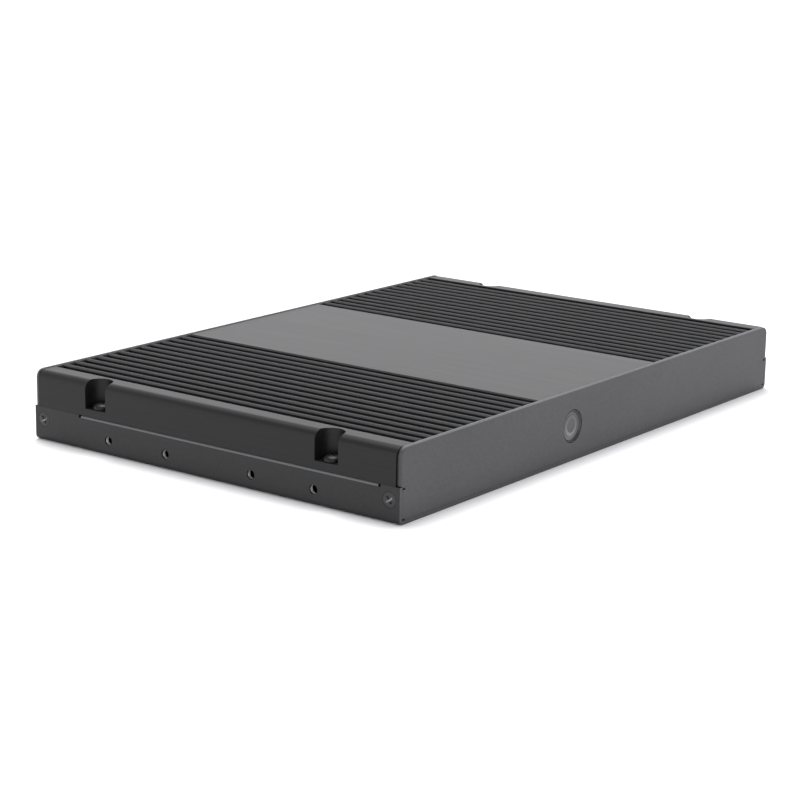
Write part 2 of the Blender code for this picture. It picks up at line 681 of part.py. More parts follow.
def make_memory():
    """A laptop-size memory module lying flat in its socket."""
    middle = -0.0130
    left = 0.0300
    socket = box("memory_socket", (left, middle - 0.0362, ON_BOARD), (left + 0.0065, middle + 0.0362,
                                                                    0.0101), BLACK_PLASTIC)
    for side in (-1, 1):
        arm_low, arm_high = sorted((middle + side * 0.0344, middle + side * 0.0362))
        join(socket, box(f"socket_arm_{side}", (left + 0.0060, arm_low, ON_BOARD),
                         (left + 0.0300, arm_high, 0.0095), cutter=True))
    cut(socket, box("module_slot", (left + 0.0030, middle - 0.0341, 0.0077),
                    (left + 0.0070, middle + 0.0341, 0.0093), cutter=True))
    module = box("memory_module", (left + 0.0034, middle - 0.0338, 0.0080),
                 (left + 0.0334, middle + 0.0338, 0.0090), BOARD_GREEN)
    for i in range(4):
        y = middle - 0.0245 + i * 0.01633
        join(module, box(f"memory_chip_{i}", (left + 0.0160, y - 0.0060, 0.0088),
                         (left + 0.0260, y + 0.0060, 0.0101), cutter=True))


def make_card(name, x, rear, length, chips):
    """A small card 22 mm wide, plugged into its socket and held down at the far end."""
    half = 0.0110
    socket = box(name + "_socket", (x - half - 0.0006, rear, ON_BOARD),
                 (x + half + 0.0006, rear + 0.0060, 0.0092), BLACK_PLASTIC)
    cut(socket, box(name + "_slot", (x - half - GAP, rear - 0.001, 0.0073),
                    (x + half + GAP, rear + 0.0030, 0.0087), cutter=True))
    card = box(name + "_card", (x - half, rear - length, 0.0076), (x + half, rear + 0.0027, 0.0084),
               BOARD_GREEN)
    for i, (start, end) in enumerate(chips):
        join(card, box(f"{name}_chip_{i}", (x - 0.0075, rear - end, 0.0082),
                       (x + 0.0075, rear - start, 0.0096), cutter=True))
    hold = rear - length + 0.0016
    cut(card, rod(name + "_hold", (x, hold, 0.0070), SCREW_HOLE_RADIUS + 0.0002, 0.003, ALONG_Z,
                  cutter=True, steps=20))
    post_profile = [(SCREW_HOLE_RADIUS, 0.0073), (0.0026, 0.0073), (0.0026, ON_BOARD),
                    (SCREW_HOLE_RADIUS, ON_BOARD)]
    turned(name + "_post", post_profile, (x, hold, 0), ALONG_Z, BRASS, closed=True, steps=12)
    small_screw(name + "_screw", (x, hold, 0.0087), 0.0022)


def make_board_parts():
    make_card("ssd", -0.0440, 0.0260, 0.0420, ((0.0080, 0.0200), (0.0230, 0.0350)))
    make_card("radio", -0.0720, 0.0260, 0.0300, ((0.0060, 0.0220),))
    rod("coin_cell", (0.0760, 0.0180, 0.0080), 0.0100, 0.0032, ALONG_Z, SCREW_STEEL)
    holder = rod("coin_holder", (0.0760, 0.0180, ON_BOARD), 0.0116, 0.0036, ALONG_Z, BLACK_PLASTIC)
    cut(holder, rod("cell_seat", (0.0760, 0.0180, 0.0077), 0.0103, 0.004, ALONG_Z, cutter=True))
    box("chipset", (0.0680, -0.0400, ON_BOARD), (0.0820, -0.0260, 0.0079), CHIP_BLACK)
    for i, tag in enumerate(("left", "middle", "right")):
        x = -0.0200 + i * 0.0120
        coil = box("power_coil_" + tag, (x, -0.0480, ON_BOARD), (x + 0.0080, -0.0400, 0.0101),
                   CHIP_BLACK)
        round_edges(coil, 0.0008, 2)


def round_edges(item, width, segments):
    edge = item.modifiers.new("rounded", "BEVEL")
    edge.width = width
    edge.segments = segments
    edge.limit_method = "ANGLE"
    edge.angle_limit = math.radians(50)


# Rear connectors ---------------------------------------------------------------------------------

def socket_block(name, x, size, material):
    width, low, high, depth = size
    return box(name, (x - width / 2, SOCKET_FACE - depth, low), (x + width / 2, SOCKET_FACE, high),
               material)


def cavity(name, x, width, low, high, depth):
    return box(name, (x - width / 2, SOCKET_FACE - depth, low), (x + width / 2, SOCKET_FACE + 0.001,
                                                               high), cutter=True)


def make_connectors():
    dc = socket_block("dc_jack", DC_JACK_X, DC_JACK_SIZE, BLACK_PLASTIC)
    dc_height = 0.0103
    cut(dc, turned("dc_bore", [(0.0012, 0.001), (0.0031, 0.001), (0.0031, -0.0100),
                               (0.0012, -0.0100)], (DC_JACK_X, SOCKET_FACE, dc_height),
                   ALONG_Y @ Matrix.Rotation(math.pi, 4, "X"), closed=True, cutter=True))

    lan = socket_block("lan_jack", LAN_JACK_X, LAN_JACK_SIZE, SOCKET_STEEL)
    cut(lan, cavity("lan_port", LAN_JACK_X, 0.0120, 0.0050, 0.0118, 0.0140),
        cavity("lan_latch", LAN_JACK_X, 0.0060, 0.0115, 0.0134, 0.0140))

    for x, tag in zip(USB_SOCKETS_X, ("left", "right")):
        usb = socket_block("usb_socket_" + tag, x, USB_SOCKET_SIZE, SOCKET_STEEL)
        cut(usb, cavity("usb_upper_" + tag, x, 0.0124, 0.0103, 0.0122, 0.0100),
            cavity("usb_lower_" + tag, x, 0.0124, 0.0069, 0.0085, 0.0100),
            box("usb_mouth_" + tag, (x - 0.0062, SOCKET_FACE - 0.0012, 0.0068),
                (x + 0.0062, SOCKET_FACE + 0.001, 0.0122), cutter=True))

    for x, tag in zip(VIDEO_SOCKETS_X, ("left", "right")):
        video = socket_block("video_socket_" + tag, x, VIDEO_SOCKET_SIZE, SOCKET_STEEL)
        shape = [(x - 0.0055, 0.0067), (x + 0.0055, 0.0067), (x + 0.0069, 0.0083),
                 (x + 0.0069, 0.0112), (x - 0.0069, 0.0112), (x - 0.0069, 0.0083)]
        port = plate_y("video_port_" + tag, shape, SOCKET_FACE - 0.0080, SOCKET_FACE + 0.001,
                       cutter=True)
        cut(video, port)
        join(video, box("video_tongue_" + tag, (x - 0.0055, SOCKET_FACE - 0.0090, 0.0086),
                        (x + 0.0055, SOCKET_FACE - 0.0010, 0.0098), cutter=True))

    audio = socket_block("audio_jack", AUDIO_JACK_X, AUDIO_JACK_SIZE, BLACK_PLASTIC)
    cut(audio, rod("audio_bore", (AUDIO_JACK_X, SOCKET_FACE - 0.0110, 0.0089), 0.0018, 0.0120,
                   ALONG_Y @ Matrix.Rotation(math.pi, 4, "X"), cutter=True, steps=20))


def main():
    make_lid()
    make_tray()
    make_front_panel()
    make_rear_panel()
    make_screws()
    make_button()
    make_mainboard()
    make_standoffs()
    make_heat_path()
    make_memory()
    make_board_parts()
    make_connectors()


main()
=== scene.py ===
import math

import bmesh
import bpy
from mathutils import Matrix, Vector


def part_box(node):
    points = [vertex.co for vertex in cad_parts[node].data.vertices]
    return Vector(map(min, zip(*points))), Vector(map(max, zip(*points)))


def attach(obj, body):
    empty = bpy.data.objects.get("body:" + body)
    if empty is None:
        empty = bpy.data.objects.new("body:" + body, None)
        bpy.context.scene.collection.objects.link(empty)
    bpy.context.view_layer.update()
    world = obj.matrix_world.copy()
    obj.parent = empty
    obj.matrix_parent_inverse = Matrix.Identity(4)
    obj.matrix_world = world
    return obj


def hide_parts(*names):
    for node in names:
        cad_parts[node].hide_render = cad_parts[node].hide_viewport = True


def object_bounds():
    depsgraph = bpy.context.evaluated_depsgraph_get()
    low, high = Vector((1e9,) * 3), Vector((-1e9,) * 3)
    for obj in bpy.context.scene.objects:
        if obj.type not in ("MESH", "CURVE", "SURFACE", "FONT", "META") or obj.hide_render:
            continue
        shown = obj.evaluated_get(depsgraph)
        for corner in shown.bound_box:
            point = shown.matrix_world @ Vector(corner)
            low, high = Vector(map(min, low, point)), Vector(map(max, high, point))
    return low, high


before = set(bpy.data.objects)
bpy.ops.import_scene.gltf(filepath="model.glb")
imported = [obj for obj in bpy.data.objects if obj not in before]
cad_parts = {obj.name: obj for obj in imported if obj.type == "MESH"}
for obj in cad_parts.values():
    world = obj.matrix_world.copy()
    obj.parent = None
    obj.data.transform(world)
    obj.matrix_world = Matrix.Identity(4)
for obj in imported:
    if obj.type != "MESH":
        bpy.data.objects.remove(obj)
cad_low, cad_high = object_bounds()

# ---------------------------------------------------------------------------------------------
# Camera
# ---------------------------------------------------------------------------------------------
CAMERA_PLACE = (-0.5729, -0.4189, 0.1815)
CAMERA_HEADING = 53.25      # degrees from +Y towards +X
CAMERA_PITCH = 14.05        # degrees below the horizon
CAMERA_ROLL = 1.02
CAMERA_LENS = 98.49

camera_data = bpy.data.cameras.new("camera")
camera_data.lens = CAMERA_LENS
camera_data.sensor_width = 36.0
camera_data.clip_start = 0.01
camera_data.clip_end = 50.0
camera = bpy.data.objects.new("camera", camera_data)
bpy.context.scene.collection.objects.link(camera)
heading = math.radians(CAMERA_HEADING)
pitch = math.radians(CAMERA_PITCH)
forward = Vector((math.sin(heading) * math.cos(pitch), math.cos(heading) * math.cos(pitch),
                  -math.sin(pitch)))
camera.rotation_mode = "QUATERNION"
aim = forward.to_track_quat("-Z", "Y").to_matrix().to_4x4()
camera.matrix_world = (Matrix.Translation(CAMERA_PLACE) @ aim
                       @ Matrix.Rotation(math.radians(CAMERA_ROLL), 4, "Z"))
bpy.context.scene.camera = camera

# ---------------------------------------------------------------------------------------------
# Sizes in metres, from the CAD boxes, from the part's own constants or for this scene alone
# ---------------------------------------------------------------------------------------------
lid_low, lid_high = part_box("heatsink_lid")
tray_low, tray_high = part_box("tray")
front_low, front_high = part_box("front_panel")
rear_low, rear_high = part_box("rear_panel")
HALF_WIDTH = lid_high.x
HALF_DEPTH = rear_high.y
HEIGHT = lid_high.z

SHEET = 0.0012
PANEL_SHEET = 0.0010
SEAM = 0.01100
SEAM_GAP = 0.00003
FIN_PITCH = 0.00497
GROOVE_WIDTH = 0.0033
GROOVE_DEPTH = 0.0050
LEFT_LAND = 0.0078
LEFT_GROOVES = 13
RIGHT_BANK_START = 0.1390
RIGHT_GROOVES = 14
PAD_START = -0.0367         # the milled pad between the two banks of fins
PAD_END = 0.0318
CORNER_RADIUS = 0.0030
LEG_WIDTH = 0.00975
UNDERSIDE = 0.0151
POCKET_OFFSET = 0.0455
POCKET_WIDTH = 0.0085
POCKET_REACH = 0.0062
POCKET_FLOOR = 0.01345
LID_SCREW_INSET = 0.0031
BEND = 0.0016
FLANGE_BEND = 0.0009
FLANGE_REACH = 0.0088
FLANGE_FRONT = -0.0641
FLANGE_REAR = 0.0518
RELIEF = 0.0009
SIDE_HOLES = (-0.0409, -0.0173, 0.0165, 0.0401)
SIDE_HOLE_Z = 0.00475
SIDE_HOLE_RADIUS = 0.0014
TRIM_REACH = 0.0100         # how far in from the walls the flanges are cut away at the corners
TRIM_TOP = 0.0130           # and how high the cuts reach
THREAD_START = 0.00055      # how far in from the wall's face the bare thread begins
THREAD_PITCH = 0.0005
THREAD_TURNS = 2
BRACKET_HOLE_X = 0.0880
BRACKET_HOLE_Y = 0.0520
BRACKET_HOLE_RADIUS = 0.0016
BUTTON_HOLE_RADIUS = 0.00527
SHANK_RADIUS = 0.0012
CORNER_SCREW_INSET = 0.0037
CORNER_SCREW_Z = 0.0069
CORNER_HEAD_RADIUS = 0.0023
PANEL_TOP = front_high.z
PANEL_LOW = SHEET + 0.00005
PANEL_WIDE = front_high.x
PANEL_NARROW = HALF_WIDTH - SHEET - 0.00005
PANEL_CORNER = 0.0026
PANEL_EDGE = 0.00032
REAR_LIP = 0.0003           # how much higher the rear panel stands than the front one
SLIT_END = HALF_WIDTH - 0.0025
SLIT_LOW = SEAM - 0.0009
SLIT_HIGH = SEAM - 0.0003
FLANGE_LENGTH = 0.0068

# ---------------------------------------------------------------------------------------------
# Materials: small helpers for node trees
# ---------------------------------------------------------------------------------------------


class Finish:
    """A Principled material whose colour, roughness and bump come from procedural nodes."""

    def __init__(self, name, metallic=0.0, coat=0.0, coat_roughness=0.1, ior=1.5, specular=0.5):
        self.material = bpy.data.materials.new(name)
        self.material.use_nodes = True
        self.tree = self.material.node_tree
        self.shader = self.tree.nodes["Principled BSDF"]
        self.shader.inputs["Metallic"].default_value = metallic
        self.shader.inputs["Coat Weight"].default_value = coat
        self.shader.inputs["Coat Roughness"].default_value = coat_roughness
        self.shader.inputs["IOR"].default_value = ior
        self.shader.inputs["Specular IOR Level"].default_value = specular
        self.place = self.add("ShaderNodeTexCoord").outputs["Object"]

    def add(self, kind, **settings):
        node = self.tree.nodes.new(kind)
        for key, value in settings.items():
            setattr(node, key, value)
        return node

    def feed(self, target, value):
        if isinstance(value, bpy.types.NodeSocket):
            self.tree.links.new(value, target)
        elif isinstance(value, tuple) and len(value) == 3 and target.type == "RGBA":
            target.default_value = (*value, 1.0)
        else:
            target.default_value = value

    def stretched(self, stretch, shift=(0.0, 0.0, 0.0)):
        mapping = self.add("ShaderNodeMapping")
        self.feed(mapping.inputs["Vector"], self.place)
        mapping.inputs["Scale"].default_value = stretch
        mapping.inputs["Location"].default_value = shift
        return mapping.outputs["Vector"]

    def noise(self, scale, stretch=(1.0, 1.0, 1.0), detail=3.0, roughness=0.55, shift=(0, 0, 0)):
        """Noise from 0 to 1; scale is in features a metre before the stretch."""
        node = self.add("ShaderNodeTexNoise")
        self.feed(node.inputs["Vector"], self.stretched(stretch, shift))
        node.inputs["Scale"].default_value = scale
        node.inputs["Detail"].default_value = detail
        node.inputs["Roughness"].default_value = roughness
        return node.outputs["Fac"]

    def ranged(self, value, low, high, out_low, out_high, smooth=False):
        node = self.add("ShaderNodeMapRange")
        if smooth:
            node.interpolation_type = "SMOOTHSTEP"
        self.feed(node.inputs["Value"], value)
        for key, number in (("From Min", low), ("From Max", high), ("To Min", out_low),
                            ("To Max", out_high)):
            node.inputs[key].default_value = number
        return node.outputs["Result"]

    def math(self, operation, one, other=0.0):
        node = self.add("ShaderNodeMath", operation=operation)
        self.feed(node.inputs[0], one)
        self.feed(node.inputs[1], other)
        return node.outputs[0]

    def axis(self, name):
        node = self.add("ShaderNodeSeparateXYZ")
        self.feed(node.inputs["Vector"], self.place)
        return node.outputs[name]

    def mix(self, share, one, other):
        node = self.add("ShaderNodeMix", data_type="RGBA")
        self.feed(node.inputs[0], share)
        self.feed(node.inputs[6], one)
        self.feed(node.inputs[7], other)
        return node.outputs[2]

    def colour(self, value):
        self.feed(self.shader.inputs["Base Color"], value)
        return self

    def rough(self, value):
        self.feed(self.shader.inputs["Roughness"], value)
        return self

    def bump(self, *layers):
        """Each layer is (height from 0 to 1, depth in metres, strength)."""
        normal = None
        for height, depth, strength in layers:
            node = self.add("ShaderNodeBump")
            node.inputs["Strength"].default_value = strength
            node.inputs["Distance"].default_value = depth
            self.feed(node.inputs["Height"], height)
            if normal is not None:
                self.feed(node.inputs["Normal"], normal)
            normal = node.outputs["Normal"]
        self.feed(self.shader.inputs["Normal"], normal)
        return self


def anodised_extrusion():
    """Black anodised aluminium, brushed along Y: fins with a painted highlight along their edges,
    round a paler milled pad.
    """
    f = Finish("anodised_extrusion", metallic=0.0, ior=1.5, specular=0.26)
    fine = f.noise(1.0, (5200, 60, 5200), detail=2.0)
    broad = f.noise(1.0, (900, 11, 900), detail=3.0, roughness=0.6)
    cloud = f.noise(35.0, detail=4.0, shift=(0.3, 0.1, 0.7))
    streak = f.math("ADD", f.math("MULTIPLY", fine, 0.45), f.math("MULTIPLY", broad, 0.55))
    tone = f.mix(f.ranged(streak, 0.35, 0.65, 0.0, 1.0), (0.0040, 0.0040, 0.0043),
                 (0.0085, 0.0085, 0.0091))
    tone = f.mix(f.ranged(cloud, 0.3, 0.75, 0.0, 0.35), tone, (0.0062, 0.0062, 0.0066))
    # a painted highlight: a paler band along each groove wall, from just under the crest to 0.6 mm
    # down
    across, up = f.axis("X"), f.axis("Z")
    banks = f.math("LESS_THAN", f.math("ABSOLUTE", across), cad_high.x - LEFT_LAND)
    below = f.ranged(up, cad_high.z - 0.0002, cad_high.z - 0.00005, 1.0, 0.0, smooth=True)
    above = f.ranged(up, cad_high.z - 0.00062, cad_high.z - 0.00040, 0.0, 1.0, smooth=True)
    edges = f.math("MULTIPLY", banks, f.math("MULTIPLY", below, above))
    tone = f.mix(edges, tone, (0.082, 0.082, 0.085))
    # the milled pad is paler, and the banks of fins beside it are rougher
    pad = f.math("MULTIPLY", f.math("GREATER_THAN", across, PAD_START),
                 f.math("LESS_THAN", across, PAD_END))
    top = f.math("MULTIPLY", pad, f.math("GREATER_THAN", up, cad_high.z - 0.0002))
    milled = f.mix(f.ranged(streak, 0.35, 0.65, 0.0, 1.0), (0.011, 0.011, 0.0112),
                   (0.018, 0.018, 0.0184))
    f.colour(f.mix(top, tone, milled))
    rougher = f.math("MULTIPLY", f.math("MULTIPLY", banks, f.math("SUBTRACT", 1.0, pad)), 0.17)
    f.rough(f.math("ADD", f.ranged(streak, 0.3, 0.7, 0.36, 0.44), rougher))
    f.bump((broad, 0.00001, 0.25), (fine, 0.00001, 0.3))
    return f.material


def coated_sheet(name, dark, light, painted_highlight_strip=None, specular=0.5):
    """A fine matt black finish on folded sheet metal.

    The optional strip is a painted highlight, a band painted lighter: from and to heights, front,
    rear and its tone.
    """
    f = Finish(name, metallic=0.0, ior=1.5, specular=specular)
    grain = f.noise(5200.0, detail=2.0)
    speck = f.noise(1400.0, detail=2.0, shift=(0.2, 0.4, 0.1))
    cloud = f.noise(28.0, detail=4.0, shift=(0.7, 0.2, 0.4))
    tone = f.mix(f.ranged(speck, 0.3, 0.7, 0.0, 1.0), dark, light)
    if painted_highlight_strip:
        # painted highlight: a strip of the coat painted lighter
        low, high, front, rear, highlight_tone = painted_highlight_strip
        up, along = f.axis("Z"), f.axis("Y")
        edge = 0.00012
        strip = f.math("MULTIPLY", f.ranged(up, low - edge, low + edge, 0.0, 1.0, smooth=True),
                       f.ranged(up, high - edge, high + edge, 1.0, 0.0, smooth=True))
        span = f.math("MULTIPLY", f.math("GREATER_THAN", along, front),
                      f.math("LESS_THAN", along, rear))
        tone = f.mix(f.math("MULTIPLY", strip, span), tone, highlight_tone)
    f.colour(tone)
    patches = f.ranged(cloud, 0.3, 0.7, -0.03, 0.03)
    f.rough(f.math("ADD", patches, f.ranged(grain, 0.2, 0.8, 0.40, 0.54)))
    f.bump((speck, 0.00003, 0.25), (grain, 0.00001, 0.45))
    return f.material


def bare_metal(name, tone, roughness, metallic=1.0):
    f = Finish(name, metallic=metallic)
    turned = f.noise(2600.0, detail=3.0)
    wear_and_sheen = f.noise(420.0, detail=4.0, shift=(0.5, 0.5, 0.2))
    dark = tuple(c * 0.72 for c in tone)
    f.colour(f.mix(f.ranged(wear_and_sheen, 0.3, 0.72, 0.0, 1.0), dark, tone))
    f.rough(f.ranged(turned, 0.25, 0.75, roughness * 0.75, roughness * 1.25))
    f.bump((turned, 0.00001, 0.3))
    return f.material


def moulded_plastic(name, tone, roughness=0.5):
    f = Finish(name, ior=1.48)
    grain = f.noise(3800.0, detail=3.0)
    flow = f.noise(160.0, detail=3.0, shift=(0.1, 0.6, 0.3))
    lighter = tuple(min(1.0, c * 1.35 + 0.004) for c in tone)
    f.colour(f.mix(f.ranged(flow, 0.3, 0.7, 0.0, 1.0), tone, lighter))
    f.rough(f.ranged(grain, 0.25, 0.75, roughness - 0.08, roughness + 0.1))
    f.bump((grain, 0.00002, 0.4))
    return f.material


def circuit_board(name):
    """Green solder mask over copper traces, with pads."""
    f = Finish(name, coat=0.3, coat_roughness=0.15)
    traces = f.add("ShaderNodeTexBrick")
    f.feed(traces.inputs["Vector"], f.stretched((1.0, 1.0, 1.0)))
    traces.inputs["Scale"].default_value = 260.0
    traces.inputs["Mortar Size"].default_value = 0.055
    traces.inputs["Color1"].default_value = (0.006, 0.070, 0.032, 1.0)
    traces.inputs["Color2"].default_value = (0.007, 0.080, 0.038, 1.0)
    traces.inputs["Mortar"].default_value = (0.018, 0.150, 0.070, 1.0)
    dust = f.noise(900.0, detail=3.0)
    f.colour(f.mix(f.ranged(dust, 0.35, 0.75, 0.0, 0.5), traces.outputs["Color"],
                   (0.010, 0.055, 0.030)))
    f.rough(f.ranged(dust, 0.3, 0.7, 0.28, 0.42))
    f.bump((traces.outputs["Fac"], 0.00004, 0.5))
    return f.material


ANODISED = anodised_extrusion()
# painted highlights, strips painted lighter: the tray's fold between the corner cuts, and the panels'
# top edge
FOLD_HIGHLIGHT = (0.01018, 0.01082, FLANGE_FRONT, FLANGE_REAR, (0.105, 0.108, 0.112))
TRAY_COAT = coated_sheet("tray_coat", (0.008, 0.008, 0.0085), (0.0135, 0.0135, 0.0144), FOLD_HIGHLIGHT,
                         specular=0.34)
# painted highlight along the panels' rounded top edge
TOP_EDGE_HIGHLIGHT = (0.02210, 0.02400, -1.0, 1.0, (0.084, 0.088, 0.093))
PANEL_COAT = coated_sheet("panel_coat", (0.0330, 0.0325, 0.0347), (0.0445, 0.0440, 0.0466),
                          TOP_EDGE_HIGHLIGHT, specular=0.42)
SCREW_BLACK = bare_metal("black_plating", (0.042, 0.042, 0.044), 0.40, 0.6)
PAN_BLACK = bare_metal("black_oxide", (0.012, 0.012, 0.0125), 0.46, 0.6)
RECESS_METAL = bare_metal("worn_recess", (0.36, 0.355, 0.35), 0.28)
DULL_RECESS = bare_metal("dull_recess", (0.055, 0.055, 0.057), 0.42)
THREAD_METAL = bare_metal("cut_thread", (0.62, 0.615, 0.61), 0.34)
SHELL_METAL = bare_metal("socket_shell", (0.62, 0.62, 0.63), 0.27)
CELL_METAL = bare_metal("cell_can", (0.66, 0.66, 0.65), 0.18)
BRASS = bare_metal("brass", (0.70, 0.52, 0.24), 0.26)
STEEL = bare_metal("nickel_steel", (0.60, 0.60, 0.59), 0.2)
COPPER = bare_metal("copper", (0.72, 0.36, 0.22), 0.30)
GOLD = bare_metal("gold_contact", (0.86, 0.62, 0.26), 0.2)
PLASTIC = moulded_plastic("black_plastic", (0.012, 0.012, 0.013))
CHIP_PLASTIC = moulded_plastic("chip_plastic", (0.020, 0.020, 0.021), 0.6)
BLUE_PLASTIC = moulded_plastic("blue_plastic", (0.010, 0.045, 0.16), 0.45)
GREEN_LENS = moulded_plastic("green_lens", (0.05, 0.30, 0.09), 0.25)
AMBER_LENS = moulded_plastic("amber_lens", (0.42, 0.20, 0.03), 0.25)
PAD_SILICONE = moulded_plastic("pad_silicone", (0.28, 0.33, 0.38), 0.75)
BOARD = circuit_board("circuit_board")

# ---------------------------------------------------------------------------------------------
# Mesh helpers
# ---------------------------------------------------------------------------------------------


def arc(centre, radius, start, end, steps):
    """Points on an arc, from start to end degrees."""
    spread = [math.radians(start + (end - start) * i / steps) for i in range(steps + 1)]
    return [(centre[0] + radius * math.cos(a), centre[1] + radius * math.sin(a)) for a in spread]


def piece_from(shape, name, *materials):
    mesh = bpy.data.meshes.new(name)
    bmesh.ops.recalc_face_normals(shape, faces=shape.faces)
    shape.to_mesh(mesh)
    shape.free()
    piece = bpy.data.objects.new(name, mesh)
    bpy.context.scene.collection.objects.link(piece)
    for material in materials:
        mesh.materials.append(material)
    return piece


AXES = {"X": lambda a, b, t: (t, a, b), "Y": lambda a, b, t: (a, t, b),
        "Z": lambda a, b, t: (a, b, t)}


def prism(name, outline, start, end, axis, *materials):
    """A closed outline given thickness along an axis."""
    at = AXES[axis]
    shape = bmesh.new()
    near = [shape.verts.new(at(a, b, start)) for a, b in outline]
    far = [shape.verts.new(at(a, b, end)) for a, b in outline]
    shape.faces.new(near)
    shape.faces.new(list(reversed(far)))
    for i in range(len(outline)):
        j = (i + 1) % len(outline)
        shape.faces.new((near[j], near[i], far[i], far[j]))
    return piece_from(shape, name, *materials)


def block(name, low, high, *materials):
    outline = [(low[0], low[1]), (high[0], low[1]), (high[0], high[1]), (low[0], high[1])]
    return prism(name, outline, low[2], high[2], "Z", *materials)


def turned_shape(profile, steps, closed=False, matrix=None):
    """A profile of (radius, height) turned about Z, as a bmesh; closed makes the profile a loop."""
    shape = bmesh.new()
    rings = []
    for radius, height in profile:
        if radius < 1e-7:
            rings.append([shape.verts.new((0, 0, height))])
        else:
            rings.append([shape.verts.new((radius * math.cos(2 * math.pi * i / steps),
                                           radius * math.sin(2 * math.pi * i / steps), height))
                          for i in range(steps)])
    pairs = list(zip(rings, rings[1:]))
    if closed:
        pairs.append((rings[-1], rings[0]))
    for one, other in pairs:
        for i in range(steps):
            j = (i + 1) % steps
            corners = [one[i % len(one)], one[j % len(one)], other[j % len(other)],
                       other[i % len(other)]]
            shape.faces.new(list(dict.fromkeys(corners)))
    if matrix is not None:
        bmesh.ops.transform(shape, matrix=matrix, verts=shape.verts)
    return shape


def applied(piece):
    """Makes a piece's modifiers part of its mesh."""
    graph = bpy.context.evaluated_depsgraph_get()
    mesh = bpy.data.meshes.new_from_object(piece.evaluated_get(graph), depsgraph=graph,
                                           preserve_all_data_layers=True)
    piece.modifiers.clear()
    old = piece.data
    piece.data = mesh
    bpy.data.meshes.remove(old)
    mesh.name = piece.name
    return piece


def carved(piece, cutters, operation="DIFFERENCE", keep_slots=False):
    """Cuts, or joins, other shapes in order, and removes them."""
    for cutter in cutters:
        change = piece.modifiers.new("shape", "BOOLEAN")
        change.operation = operation
        change.solver = "EXACT"
        change.object = cutter
        if keep_slots:
            change.material_mode = "TRANSFER"
    bpy.context.view_layer.update()
    applied(piece)
    for cutter in cutters:
        bpy.data.objects.remove(cutter, do_unlink=True)
    return piece


def softened(piece, width, segments=2, angle=32, sharp=40):
    """Rounds the sharp edges a little and evens the shading of the flats."""
    edge = piece.modifiers.new("edges", "BEVEL")
    edge.width = width
    edge.segments = segments
    edge.limit_method = "ANGLE"
    edge.angle_limit = math.radians(angle)
    edge.use_clamp_overlap = True
    edge.miter_outer = "MITER_ARC"
    applied(piece)
    return shaded(piece, sharp)


def shaded(piece, sharp=40):
    piece.data.shade_smooth()
    piece.data.set_sharp_from_angle(angle=math.radians(sharp))
    even = piece.modifiers.new("normals", "WEIGHTED_NORMAL")
    even.keep_sharp = True
    even.weight = 50
    return piece


def placed(piece, matrix):
    piece.data.transform(matrix)
    piece.data.update()
    return piece


def settle(piece, body, slot, *nodes):
    """Says what the piece rides on and hides the CAD nodes that it stands for. Its slot is not used.
    """
    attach(piece, body)
    if nodes:
        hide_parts(*nodes)
    return piece


def facing(direction):
    """The turn that carries +Z onto a direction."""
    return Vector(direction).to_track_quat("Z", "Y").to_matrix().to_4x4()


# ---------------------------------------------------------------------------------------------
# Lid
# ---------------------------------------------------------------------------------------------

def groove(start):
    """Down one side, across the bottom and up the other, with every corner rounded."""
    left = start - HALF_WIDTH
    right = left + GROOVE_WIDTH
    bottom = HEIGHT - GROOVE_DEPTH
    crest = 0.00034
    root = 0.0007
    points = arc((left - crest, HEIGHT - crest), crest, 90, 0, 3)
    points += arc((left + root, bottom + root), root, 180, 270, 4)
    points += arc((right - root, bottom + root), root, 270, 360, 4)
    points += arc((right + crest, HEIGHT - crest), crest, 180, 90, 3)
    return points


def lid_outline():
    """The extrusion seen from the front: left leg, crests and grooves, right leg."""
    inner = HALF_WIDTH - LEG_WIDTH
    corner = HALF_WIDTH - CORNER_RADIUS
    shoulder = HEIGHT - CORNER_RADIUS
    low = SEAM + SEAM_GAP
    points = [(-inner, UNDERSIDE), (-inner, low), (-HALF_WIDTH, low)]
    points += arc((-corner, shoulder), CORNER_RADIUS, 180, 90, 14)
    for i in range(LEFT_GROOVES):
        points += groove(LEFT_LAND + i * FIN_PITCH)
    for i in range(RIGHT_GROOVES):
        points += groove(RIGHT_BANK_START + i * FIN_PITCH)
    points += arc((corner, shoulder), CORNER_RADIUS, 90, 0, 14)
    return points + [(HALF_WIDTH, low), (inner, low), (inner, UNDERSIDE)]


def pocket_outline(side, y):
    half = POCKET_WIDTH / 2
    turn_x = side * (HALF_WIDTH - POCKET_REACH + half)
    outside = side * (HALF_WIDTH + 0.002)
    if side < 0:
        return [(outside, y - half)] + arc((turn_x, y), half, -90, 90, 24) + [(outside, y + half)]
    return [(outside, y + half)] + arc((turn_x, y), half, 90, 270, 24) + [(outside, y - half)]


def build_lid():
    lid = prism("lid_extrusion", lid_outline(), lid_low.y, lid_high.y, "Y", ANODISED)
    cutters = []
    for side in (-1, 1):
        for y in (-POCKET_OFFSET, POCKET_OFFSET):
            cutters.append(prism("pocket", pocket_outline(side, y), POCKET_FLOOR, HEIGHT + 0.002,
                                 "Z"))
    button_low, button_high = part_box("button_guide")
    cutters.append(block("relief", (button_low.x - 0.002, lid_low.y - 0.001, 0.0090),
                         (button_high.x + 0.002, button_high.y + 0.002, button_high.z + 0.0006)))
    carved(lid, cutters)
    softened(lid, 0.00010, 2, angle=50, sharp=42)
    settle(lid, "case", "lid", "heatsink_lid")


# ---------------------------------------------------------------------------------------------
# Tray
# ---------------------------------------------------------------------------------------------

